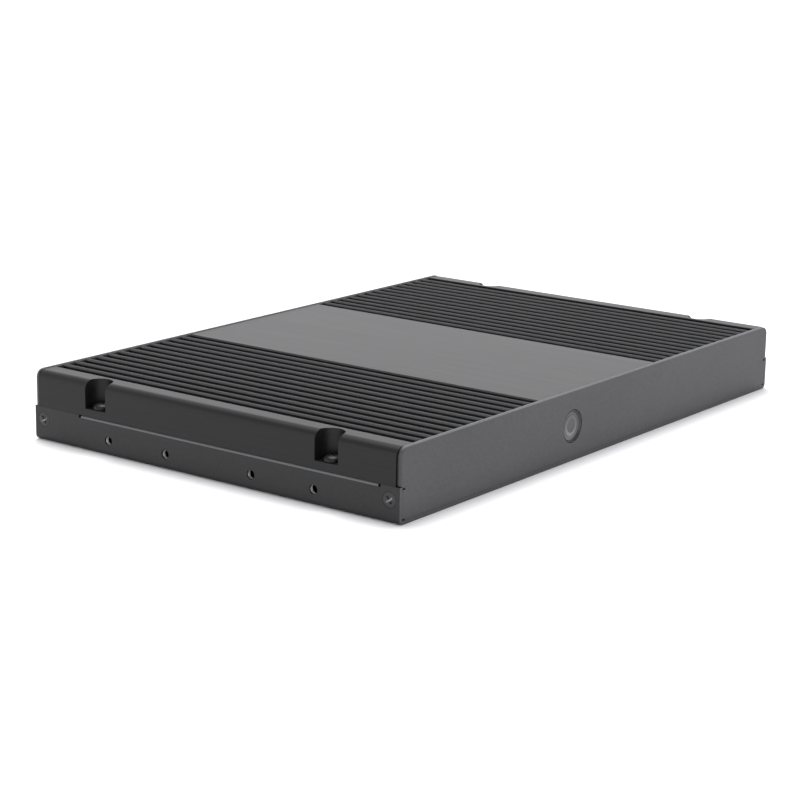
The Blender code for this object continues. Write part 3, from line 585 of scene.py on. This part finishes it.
def tray_outline():
    """The folded sheet seen from the front: flange, wall, floor, wall, flange, and back inside."""
    tip = HALF_WIDTH - FLANGE_REACH
    inside = HALF_WIDTH - SHEET
    outer = [(tip, SEAM)]
    outer += arc((HALF_WIDTH - FLANGE_BEND, SEAM - FLANGE_BEND), FLANGE_BEND, 90, 0, 10)
    outer += arc((HALF_WIDTH - BEND, BEND), BEND, 0, -90, 10)
    inner = arc((HALF_WIDTH - BEND, BEND), BEND - SHEET, -90, 0, 5)
    inner += [(inside, SEAM - SHEET), (tip, SEAM - SHEET)]
    right = outer + [(-a, b) for a, b in reversed(outer)]
    return right + [(-a, b) for a, b in reversed(inner)] + inner


def build_tray():
    tray = prism("tray_sheet", tray_outline(), tray_low.y, tray_high.y, "Y", TRAY_COAT,
                 PANEL_COAT)
    bend_start = SEAM - FLANGE_BEND
    tabs, trims, holes = [], [], []
    for side in (-1, 1):
        x_low, x_high = sorted((side * (HALF_WIDTH + 0.001), side * (HALF_WIDTH - TRIM_REACH)))
        wall_low, wall_high = sorted((side * HALF_WIDTH, side * (HALF_WIDTH - SHEET)))
        inner_low, inner_high = sorted((side * (HALF_WIDTH - SHEET),
                                        side * (HALF_WIDTH - TRIM_REACH)))
        for start, end, tab_start, tab_end in (
                (tray_low.y - 0.001, FLANGE_FRONT, tray_low.y, FLANGE_FRONT - RELIEF),
                (FLANGE_REAR, tray_high.y + 0.001, FLANGE_REAR + RELIEF, tray_high.y)):
            trims.append(block("trim", (x_low, start, bend_start), (x_high, end, TRIM_TOP)))
            trims.append(block("trim", (inner_low, start, SEAM - SHEET - 0.0002),
                               (inner_high, end, TRIM_TOP + 0.0001)))
            tabs.append(block("tab", (wall_low, tab_start, bend_start - 0.0012),
                              (wall_high, tab_end, SEAM), TRAY_COAT))
        inward = facing((-side, 0, 0))
        for y in SIDE_HOLES:
            profile = [(0, 0), (SIDE_HOLE_RADIUS + 0.00025, 0), (SIDE_HOLE_RADIUS, 0.00095),
                       (SIDE_HOLE_RADIUS, 0.004), (0, 0.004)]
            place = Matrix.Translation((side * (HALF_WIDTH + 0.0006), y, SIDE_HOLE_Z)) @ inward
            holes.append(piece_from(turned_shape(profile, 32, matrix=place), "hole"))
        mouth = CORNER_HEAD_RADIUS + 0.00012
        for y in (CORNER_SCREW_INSET - HALF_DEPTH, HALF_DEPTH - CORNER_SCREW_INSET):
            profile = [(0, -0.0005), (mouth + 0.0005, -0.0005), (mouth - 0.0011, 0.0011),
                       (mouth - 0.0011, 0.004), (0, 0.004)]
            place = Matrix.Translation((side * HALF_WIDTH, y, CORNER_SCREW_Z)) @ inward
            holes.append(piece_from(turned_shape(profile, 48, matrix=place), "countersink"))
    for x in (-BRACKET_HOLE_X, BRACKET_HOLE_X):
        for y in (-BRACKET_HOLE_Y, BRACKET_HOLE_Y):
            profile = [(0, -0.001), (BRACKET_HOLE_RADIUS, -0.001), (BRACKET_HOLE_RADIUS, 0.003),
                       (0, 0.003)]
            place = Matrix.Translation((x, y, 0))
            holes.append(piece_from(turned_shape(profile, 32, matrix=place), "bracket_hole"))
    carved(tray, trims)
    carved(tray, tabs, "UNION")
    carved(tray, holes)
    softened(tray, 0.00008, 2, angle=50, sharp=38)
    # the sheet's ends, beside the panels, have the panels' lighter coat: painted light that lifts the
    # shade on these cut faces
    for face in tray.data.polygons:
        at_end = abs(face.normal.y) > 0.8 and abs(face.center.y) > HALF_DEPTH - 0.00025
        face.material_index = 1 if at_end else 0
    settle(tray, "case", "sheet", "tray")


def build_threads():
    """Cut threads showing bare metal inside the side holes, one piece a side."""
    for side, tag in ((-1, "left"), (1, "right")):
        joined = bmesh.new()
        for y in SIDE_HOLES:
            profile = []
            for i in range(THREAD_TURNS):
                base = THREAD_START + i * THREAD_PITCH
                profile += [(SIDE_HOLE_RADIUS - 0.00002, base),
                            (SIDE_HOLE_RADIUS - 0.00016, base + THREAD_PITCH / 2)]
            deepest = THREAD_START + THREAD_TURNS * THREAD_PITCH
            profile += [(SIDE_HOLE_RADIUS - 0.00002, deepest), (SIDE_HOLE_RADIUS + 0.00045, deepest),
                        (SIDE_HOLE_RADIUS + 0.00045, 0.0013), (SIDE_HOLE_RADIUS, 0.0013)]
            place = Matrix.Translation((side * HALF_WIDTH, y, SIDE_HOLE_Z)) @ facing((-side, 0, 0))
            shape = turned_shape(profile, 32, closed=True, matrix=place)
            mesh = bpy.data.meshes.new("ring")
            shape.to_mesh(mesh)
            shape.free()
            joined.from_mesh(mesh)
            bpy.data.meshes.remove(mesh)
        threads = shaded(piece_from(joined, "side_threads_" + tag, THREAD_METAL), 25)
        settle(threads, "case", "screw")


# ---------------------------------------------------------------------------------------------
# End panels
# ---------------------------------------------------------------------------------------------
SOCKETS = ("dc_jack", "lan_jack", "usb_socket_left", "usb_socket_right", "video_socket_left",
           "video_socket_right", "audio_jack")


def panel_outline(half, low, top, radius):
    """A plate seen from the front, with its two upper corners rounded."""
    right = [(half, low)] + arc((half - radius, top - radius), radius, 0, 90, 14)
    return right + [(-a, b) for a, b in reversed(right)]


def rounded_plate(name, top, *materials):
    """The plate itself, its upper outer edge rolled over."""
    shape = bmesh.new()
    front = -HALF_DEPTH
    rings = []
    for turn in (0, 18, 36, 54, 72, 90):
        inset = PANEL_EDGE * (1 - math.sin(math.radians(turn)))
        depth = PANEL_EDGE * (1 - math.cos(math.radians(turn)))
        outline = panel_outline(PANEL_WIDE - inset, PANEL_LOW, top - inset, PANEL_CORNER - inset)
        rings.append([shape.verts.new((a, front + depth, b)) for a, b in outline])
    rings.append([shape.verts.new((v.co.x, front + PANEL_SHEET, v.co.z)) for v in rings[-1]])
    shape.faces.new(rings[0])
    shape.faces.new(list(reversed(rings[-1])))
    for one, other in zip(rings, rings[1:]):
        for i in range(len(one)):
            j = (i + 1) % len(one)
            shape.faces.new((one[j], one[i], other[i], other[j]))
    return piece_from(shape, name, *materials)


def panel_rim(*materials):
    """The strip that closes the plate against the end of the lid."""
    start, end = PANEL_SHEET - 0.0003 - HALF_DEPTH, lid_low.y - 0.00003
    rim = prism("rim", panel_outline(PANEL_WIDE - 0.00010, SEAM + 0.0003, HEIGHT - 0.00003,
                                     CORNER_RADIUS), start, end, "Y", *materials)
    middle = block("middle", (-PANEL_WIDE + 0.0018, start - 0.001, SEAM - 0.001),
                   (PANEL_WIDE - 0.0018, end + 0.001, PANEL_TOP - 0.0018), *materials)
    return carved(rim, [middle])


def build_panel(name, end, holes, *materials):
    """A plate with flanges behind it, a slit and a notch at each side and a rim up to the lid."""
    front = -HALF_DEPTH
    panel = rounded_plate(name, PANEL_TOP + (REAR_LIP if end > 0 else 0.0), *materials)
    outside, through = PANEL_WIDE + 0.001, front + PANEL_SHEET + 0.0003
    notch = PANEL_NARROW - 0.0011
    cuts = []
    for side in (-1, 1):
        for inner, low, high in ((PANEL_NARROW, PANEL_LOW - 0.001, SEAM + 0.0002),
                                 (SLIT_END, SLIT_LOW, SLIT_HIGH),
                                 (notch, PANEL_LOW - 0.001, PANEL_LOW + 0.0005)):
            x_low, x_high = sorted((side * inner, side * outside))
            cuts.append(block("cut", (x_low, front - 0.001, low), (x_high, through, high)))
    carved(panel, cuts)
    deep, behind = front + FLANGE_LENGTH, front + PANEL_SHEET - 0.0003
    flanges = [panel_rim(*materials),
               block("flange", (0.0014 - PANEL_NARROW, behind, PANEL_LOW),
                     (PANEL_NARROW - 0.0014, deep, PANEL_LOW + 0.0009), *materials)]
    for side in (-1, 1):
        x_low, x_high = sorted((side * PANEL_NARROW, side * (PANEL_NARROW - 0.0009)))
        flanges.append(block("flange", (x_low, behind, PANEL_LOW + 0.0010), (x_high, deep, SLIT_LOW),
                             *materials))
    carved(panel, flanges, "UNION")
    if end > 0:
        placed(panel, Matrix.Rotation(math.pi, 4, "Z"))
    carved(panel, holes)
    return shaded(panel, 30)


def build_panels():
    button_low, button_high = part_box("power_button")
    centre = (button_low + button_high) / 2
    profile = [(0, 0), (BUTTON_HOLE_RADIUS, 0), (BUTTON_HOLE_RADIUS, 0.004), (0, 0.004)]
    place = Matrix.Translation((centre.x, -HALF_DEPTH - 0.001, centre.z)) @ facing((0, 1, 0))
    hole = turned_shape(profile, 72, matrix=place)
    front = build_panel("front_plate", -1, [piece_from(hole, "button_hole")], PANEL_COAT)
    settle(front, "case", "sheet", "front_panel")
    windows = []
    for node in SOCKETS:
        low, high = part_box(node)
        windows.append(block("window", (low.x - 0.0002, HALF_DEPTH - 0.003, low.z - 0.0002),
                             (high.x + 0.0002, HALF_DEPTH + 0.001, high.z + 0.0002)))
    rear = build_panel("rear_plate", 1, windows, PANEL_COAT)
    settle(rear, "case", "sheet", "rear_panel")


# ---------------------------------------------------------------------------------------------
# Screws
# ---------------------------------------------------------------------------------------------

def cross_recess(top, reach, depth):
    """A tapering cross with a pointed middle, as a cutter, pointing down from top."""
    shape = bmesh.new()
    levels = []
    for z, arm, blade in ((top + 0.0004, reach * 1.12, 0.00030),
                          (top - depth * 0.55, reach * 0.72, 0.00024),
                          (top - depth, reach * 0.30, 0.00018)):
        inner = blade * 1.25
        ring = []
        for quarter in range(4):
            turn = Matrix.Rotation(math.radians(90 * quarter), 3, "Z")
            for point in ((arm, -blade * 0.85, z), (arm, blade * 0.85, z), (inner, inner, z)):
                ring.append(shape.verts.new(turn @ Vector(point)))
        levels.append(ring)
    shape.faces.new(levels[0])
    shape.faces.new(list(reversed(levels[-1])))
    for one, other in zip(levels, levels[1:]):
        for i in range(len(one)):
            j = (i + 1) % len(one)
            shape.faces.new((one[i], one[j], other[j], other[i]))
    return shape


def build_screw(name, metals, profile, matrix, reach, depth, recess_turn=20.0):
    """Metals are the head's finish and the recess's."""
    shape = turned_shape(profile, 48)
    screw = piece_from(shape, name, *metals)
    cutter = piece_from(cross_recess(profile[0][1], reach, depth), "recess", metals[1])
    placed(cutter, Matrix.Rotation(math.radians(recess_turn), 4, "Z"))
    carved(screw, [cutter], keep_slots=True)
    shaded(screw, 30)
    return placed(screw, matrix)


def thread(top, length):
    """The outline of a thread's crests and roots going down a shank."""
    points = []
    for i in range(int((length - 0.0006) / THREAD_PITCH)):
        z = top - 0.0003 - i * THREAD_PITCH
        points += [(SHANK_RADIUS, z), (SHANK_RADIUS - 0.00022, z - THREAD_PITCH / 2)]
    points.append((SHANK_RADIUS - 0.0004, -length))
    return points


def pan_head(radius, height, length):
    rim = height * 0.35
    dome = [(radius * math.sin(math.radians(a)), rim + (height - rim) * math.cos(math.radians(a)))
            for a in (15, 30, 42, 54, 65, 75, 83, 90)]
    return ([(0, height)] + dome + [(radius, 0.00012), (radius - 0.0001, 0), (SHANK_RADIUS, 0)]
            + thread(0.0, length) + [(0, -length)])


def countersunk_head(length):
    slope = CORNER_HEAD_RADIUS - SHANK_RADIUS
    return ([(0, 0), (CORNER_HEAD_RADIUS - 0.00012, 0), (CORNER_HEAD_RADIUS - 0.00003, -0.00004),
             (CORNER_HEAD_RADIUS, -0.00012), (SHANK_RADIUS, -slope - 0.0001)]
            + thread(-slope, length) + [(0, -length)])


def build_screws():
    turns = {"front_left": 38.0, "front_right": 52.0, "rear_left": 33.0, "rear_right": 71.0}
    for side, side_name in ((-1, "left"), (1, "right")):
        for end, end_name in ((-1, "front"), (1, "rear")):
            tag = f"{end_name}_{side_name}"
            matrix = Matrix.Translation((side * (HALF_WIDTH - 0.00004),
                                         end * (HALF_DEPTH - CORNER_SCREW_INSET), CORNER_SCREW_Z))
            corner = build_screw("corner_head_" + tag, (SCREW_BLACK, RECESS_METAL),
                                 countersunk_head(0.0058), matrix @ facing((side, 0, 0)), 0.0014,
                                 0.0010, turns[tag])
            settle(corner, "case", "screw", "corner_screw_" + tag)
            matrix = Matrix.Translation((side * (HALF_WIDTH - LID_SCREW_INSET),
                                         end * POCKET_OFFSET, POCKET_FLOOR + 0.0001))
            pan = build_screw("lid_head_" + tag, (PAN_BLACK, DULL_RECESS),
                              pan_head(0.00275, 0.0018, 0.0058), matrix, 0.0016, 0.0011,
                              turns[tag] + 25)
            settle(pan, "case", "screw", "lid_screw_" + tag)


# ---------------------------------------------------------------------------------------------
# Power button
# ---------------------------------------------------------------------------------------------

def button_finish():
    """Dark turned metal with fine rings round the button's own axis."""
    f = Finish("button_face", metallic=0.55, specular=0.5)
    low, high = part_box("power_button")
    node = f.add("ShaderNodeVectorMath", operation="SUBTRACT")
    f.feed(node.inputs[0], f.place)
    node.inputs[1].default_value = ((low.x + high.x) / 2, 0.0, (low.z + high.z) / 2)
    flat = f.add("ShaderNodeVectorMath", operation="MULTIPLY")
    f.feed(flat.inputs[0], node.outputs[0])
    flat.inputs[1].default_value = (1.0, 0.0, 1.0)
    reach = f.add("ShaderNodeVectorMath", operation="LENGTH")
    f.feed(reach.inputs[0], flat.outputs[0])
    radius = reach.outputs["Value"]
    rings = f.math("FRACT", f.math("MULTIPLY", radius, 9000.0))
    grain = f.noise(3000.0, detail=2.0)
    tone = f.mix(f.ranged(grain, 0.3, 0.7, 0.0, 1.0), (0.058, 0.057, 0.062), (0.078, 0.077, 0.083))
    # painted highlights: a paler ring round the dish, painted paler again towards the bottom; and the
    # rim painted darker as shade
    ring = f.math("MULTIPLY", f.ranged(radius, 0.0019, 0.0025, 0.0, 1.0, smooth=True),
                  f.ranged(radius, 0.0030, 0.0037, 1.0, 0.30, smooth=True))
    wear_and_sheen = f.ranged(f.math("SUBTRACT", (low.z + high.z) / 2, f.axis("Z")), -0.0026, 0.0030, 0.20, 1.0)
    # painted shade on the rim, a little darker than the face
    wall = f.ranged(radius, 0.00442, 0.00450, 0.0, 1.0)
    face = f.mix(f.math("MULTIPLY", ring, wear_and_sheen), tone, (0.175, 0.174, 0.184))
    f.colour(f.mix(wall, face, (0.050, 0.050, 0.053)))
    f.rough(f.ranged(grain, 0.3, 0.7, 0.30, 0.42))
    f.bump((rings, 0.000006, 0.4), (grain, 0.00001, 0.25))
    return f.material


def build_button():
    """A dished cap with a low ring in the dish and a rolled rim."""
    low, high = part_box("power_button")
    x, z = (low.x + high.x) / 2, (low.z + high.z) / 2
    face = -HALF_DEPTH + 0.00008
    profile = [(0, -0.00066), (0.0021, -0.00066)]
    profile += [(0.0028 - 0.0007 * math.cos(math.radians(a)),
                 -0.00066 + 0.00016 * math.sin(math.radians(a))) for a in range(20, 170, 20)]
    profile += [(0.0035, -0.00066), (0.0043, -0.00064), (0.00445, -0.00058), (0.00478, -0.00006),
                (0.00484, -0.00001), (0.00494, 0.0), (0.00503, -0.00005), (0.00506, -0.00014),
                (0.00506, -0.00120), (0.0062, -0.00126), (0.0062, -0.0023), (0.0020, -0.0024),
                (0.0020, -0.0066), (0, -0.0066)]
    shape = turned_shape(profile, 72, matrix=Matrix.Translation((x, face, z)) @ facing((0, -1, 0)))
    cap = piece_from(shape, "button_cap", button_finish())
    shaded(cap, 30)
    settle(cap, "power_button", "button", "power_button")


# ---------------------------------------------------------------------------------------------
# Rear sockets: what sits inside the plain CAD shells
# ---------------------------------------------------------------------------------------------

def joined_blocks(name, boxes, *materials):
    """Separate blocks kept in one piece."""
    shape = bmesh.new()
    for low, high in boxes:
        middle = (Vector(low) + Vector(high)) / 2
        size = Vector(high) - Vector(low)
        bmesh.ops.create_cube(shape, size=1.0, matrix=Matrix.LocRotScale(middle, None, size))
    return piece_from(shape, name, *materials)


def build_network_port():
    low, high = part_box("lan_jack")
    x, face = (low.x + high.x) / 2, high.y
    wires = bmesh.new()
    for i in range(8):
        left = x + (i - 3.5) * 0.00102 - 0.00018
        side = [(face - 0.0028, 0.0052), (face - 0.0095, 0.0074), (face - 0.0098, 0.0071),
                (face - 0.0030, 0.00502)]
        near = [wires.verts.new((left, b, c)) for b, c in side]
        far = [wires.verts.new((left + 0.00036, b, c)) for b, c in side]
        wires.faces.new(near)
        wires.faces.new(list(reversed(far)))
        for j in range(4):
            k = (j + 1) % 4
            wires.faces.new((near[k], near[j], far[j], far[k]))
    settle(piece_from(wires, "lan_contacts", GOLD), "case", "brass")
    housing = block("lan_housing", (x - 0.0071, face - 0.0002, low.z + 0.0009),
                    (x + 0.0071, face + 0.00012, high.z - 0.0006), PLASTIC)
    carved(housing, [block("port", (x - 0.0060, face - 0.001, 0.0050),
                           (x + 0.0060, face + 0.001, 0.0118)),
                     block("latch", (x - 0.0030, face - 0.001, 0.0112),
                           (x + 0.0030, face + 0.001, 0.0130))])
    settle(softened(housing, 0.00006, 1), "case", "plastic")
    for side, name, lens in ((-1, "lan_light_left", AMBER_LENS), (1, "lan_light_right", GREEN_LENS)):
        x_low, x_high = sorted((x + side * 0.0040, x + side * 0.0066))
        light = block(name, (x_low, face, 0.0123), (x_high, face + 0.00022, 0.0134), lens)
        settle(softened(light, 0.00008, 2), "case", "plastic")


def build_data_ports():
    tongues, contacts, springs = [], [], []
    for node in ("usb_socket_left", "usb_socket_right"):
        low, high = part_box(node)
        x, face = (low.x + high.x) / 2, high.y
        tongues.append(((x - 0.00615, face - 0.0099, 0.00842),
                        (x + 0.00615, face - 0.00110, 0.01038)))
        for shift in (-0.0035, -0.0010, 0.0010, 0.0035):
            contacts.append(((x + shift - 0.0005, face - 0.0080, 0.01036),
                             (x + shift + 0.0005, face - 0.00145, 0.01043)))
        for shift in (-0.0034, 0.0034):
            for z_low, z_high in ((0.01195, 0.01222), (0.00678, 0.00705)):
                springs.append(((x + shift - 0.0011, face - 0.0034, z_low),
                                (x + shift + 0.0011, face - 0.0004, z_high)))
    settle(softened(joined_blocks("usb_tongues", tongues, BLUE_PLASTIC), 0.0001, 1), "case",
           "plastic")
    settle(joined_blocks("usb_springs", springs, STEEL), "case", "socket")
    tongues = []
    for node in ("video_socket_left", "video_socket_right"):
        low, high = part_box(node)
        x, face = (low.x + high.x) / 2, high.y
        tongues.append(((x - 0.00555, face - 0.0079, 0.00855),
                        (x + 0.00555, face - 0.00092, 0.00985)))
        for i in range(10):
            left = x + (i - 4.5) * 0.0010 - 0.00022
            contacts.append(((left, face - 0.0070, 0.00983),
                             (left + 0.00044, face - 0.00112, 0.00989)))
    settle(softened(joined_blocks("video_tongues", tongues, PLASTIC), 0.0001, 1), "case", "plastic")
    settle(joined_blocks("port_contacts", contacts, GOLD), "case", "brass")


def build_round_ports():
    low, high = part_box("dc_jack")
    place = Matrix.Translation(((low.x + high.x) / 2, high.y, 0.0103)) @ facing((0, 1, 0))
    pin = turned_shape([(0, -0.0005), (0.0006, -0.00055), (0.00105, -0.0008), (0.00125, -0.0013),
                        (0.00125, -0.0099), (0, -0.0099)], 32, matrix=place)
    settle(shaded(piece_from(pin, "dc_pin", STEEL), 35), "case", "socket")
    sleeve = turned_shape([(0.00309, -0.0016), (0.00309, -0.0098), (0.00298, -0.0098),
                           (0.00298, -0.0016)], 40, closed=True, matrix=place)
    settle(shaded(piece_from(sleeve, "dc_sleeve", STEEL), 35), "case", "socket")
    low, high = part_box("audio_jack")
    place = Matrix.Translation(((low.x + high.x) / 2, high.y, 0.0089)) @ facing((0, 1, 0))
    collar = turned_shape([(0.00178, -0.0030), (0.00178, 0.00005), (0.0019, 0.00018),
                           (0.0026, 0.00018), (0.0028, 0.00008), (0.0028, -0.0001),
                           (0.00186, -0.0001), (0.00186, -0.0030)], 40, closed=True, matrix=place)
    settle(shaded(piece_from(collar, "audio_collar", STEEL), 35), "case", "socket")


# ---------------------------------------------------------------------------------------------
# What stays as CAD, with its finish
# ---------------------------------------------------------------------------------------------
KEPT = {
    "mainboard": BOARD, "processor": BOARD, "memory_module": BOARD, "ssd_card": BOARD,
    "radio_card": BOARD, "thermal_pad": PAD_SILICONE, "heat_block": COPPER, "coin_cell": CELL_METAL,
    "coin_holder": PLASTIC, "memory_socket": PLASTIC, "ssd_socket": PLASTIC, "radio_socket": PLASTIC,
    "button_guide": PLASTIC, "switch_plunger": PLASTIC, "switch_body": SHELL_METAL,
    "chipset": CHIP_PLASTIC, "power_coil_left": CHIP_PLASTIC, "power_coil_middle": CHIP_PLASTIC,
    "power_coil_right": CHIP_PLASTIC, "ssd_post": BRASS, "radio_post": BRASS,
    "dc_jack": PLASTIC, "audio_jack": PLASTIC, "lan_jack": SHELL_METAL,
    "usb_socket_left": SHELL_METAL, "usb_socket_right": SHELL_METAL,
    "video_socket_left": SHELL_METAL, "video_socket_right": SHELL_METAL,
}


def finish_kept():
    for name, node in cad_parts.items():
        material = KEPT.get(name)
        if material is None and name.startswith("standoff_"):
            material = BRASS
        if material is None and name.endswith(("screw", "_left", "_right", "_front", "_rear")):
            material = SCREW_BLACK
        if material is None:
            continue
        if not node.data.materials:
            node.data.materials.append(material)
        for slot in node.material_slots:
            slot.link = "OBJECT"
            slot.material = material


# ---------------------------------------------------------------------------------------------
# Stage and light
# ---------------------------------------------------------------------------------------------
HORIZON = (0.30, 0.62, 1.65, 0.60)      # from and to heights, brightness below and above them


def build_stage():
    shape = bmesh.new()
    bmesh.ops.create_circle(shape, cap_ends=True, segments=96, radius=9.0)
    floor = piece_from(shape, "floor")
    floor.location.z = cad_low.z - 0.00002
    material = bpy.data.materials.new("floor")
    material.use_nodes = True
    shader = material.node_tree.nodes["Principled BSDF"]
    shader.inputs["Base Color"].default_value = (0.86, 0.86, 0.865, 1.0)
    shader.inputs["Roughness"].default_value = 0.9
    shader.inputs["Specular IOR Level"].default_value = 0.1
    floor.data.materials.append(material)


def sun(name, direction, strength, spread):
    data = bpy.data.lights.new(name, "SUN")
    data.energy = strength
    data.angle = math.radians(spread)
    light = bpy.data.objects.new(name, data)
    bpy.context.scene.collection.objects.link(light)
    light.rotation_mode = "QUATERNION"
    light.rotation_quaternion = Vector(direction).to_track_quat("Z", "Y")
    return light


def build_world():
    """A white studio: bright round the horizon and dimmer overhead."""
    world = bpy.data.worlds.new("studio")
    world.use_nodes = True
    tree = world.node_tree
    place = tree.nodes.new("ShaderNodeTexCoord")
    split = tree.nodes.new("ShaderNodeSeparateXYZ")
    tree.links.new(place.outputs["Generated"], split.inputs[0])
    fade = tree.nodes.new("ShaderNodeMapRange")
    fade.interpolation_type = "SMOOTHSTEP"
    for key, number in (("From Min", HORIZON[0]), ("From Max", HORIZON[1]), ("To Min", HORIZON[2]),
                        ("To Max", HORIZON[3])):
        fade.inputs[key].default_value = number
    tree.links.new(split.outputs["Z"], fade.inputs["Value"])
    background = tree.nodes["Background"]
    background.inputs["Color"].default_value = (0.985, 0.980, 1.0, 1.0)
    tree.links.new(fade.outputs["Result"], background.inputs["Strength"])
    return world


def build_light():
    scene = bpy.context.scene
    scene.view_settings.view_transform = "Standard"
    scene.view_settings.look = "None"
    scene.world = build_world()
    sun("overhead", (0.20, 0.19, 1.0), 2.9, 30.0)


build_lid()
build_tray()
build_threads()
build_panels()
build_screws()
build_button()
build_network_port()
build_data_ports()
build_round_ports()
finish_kept()
build_stage()
build_light()
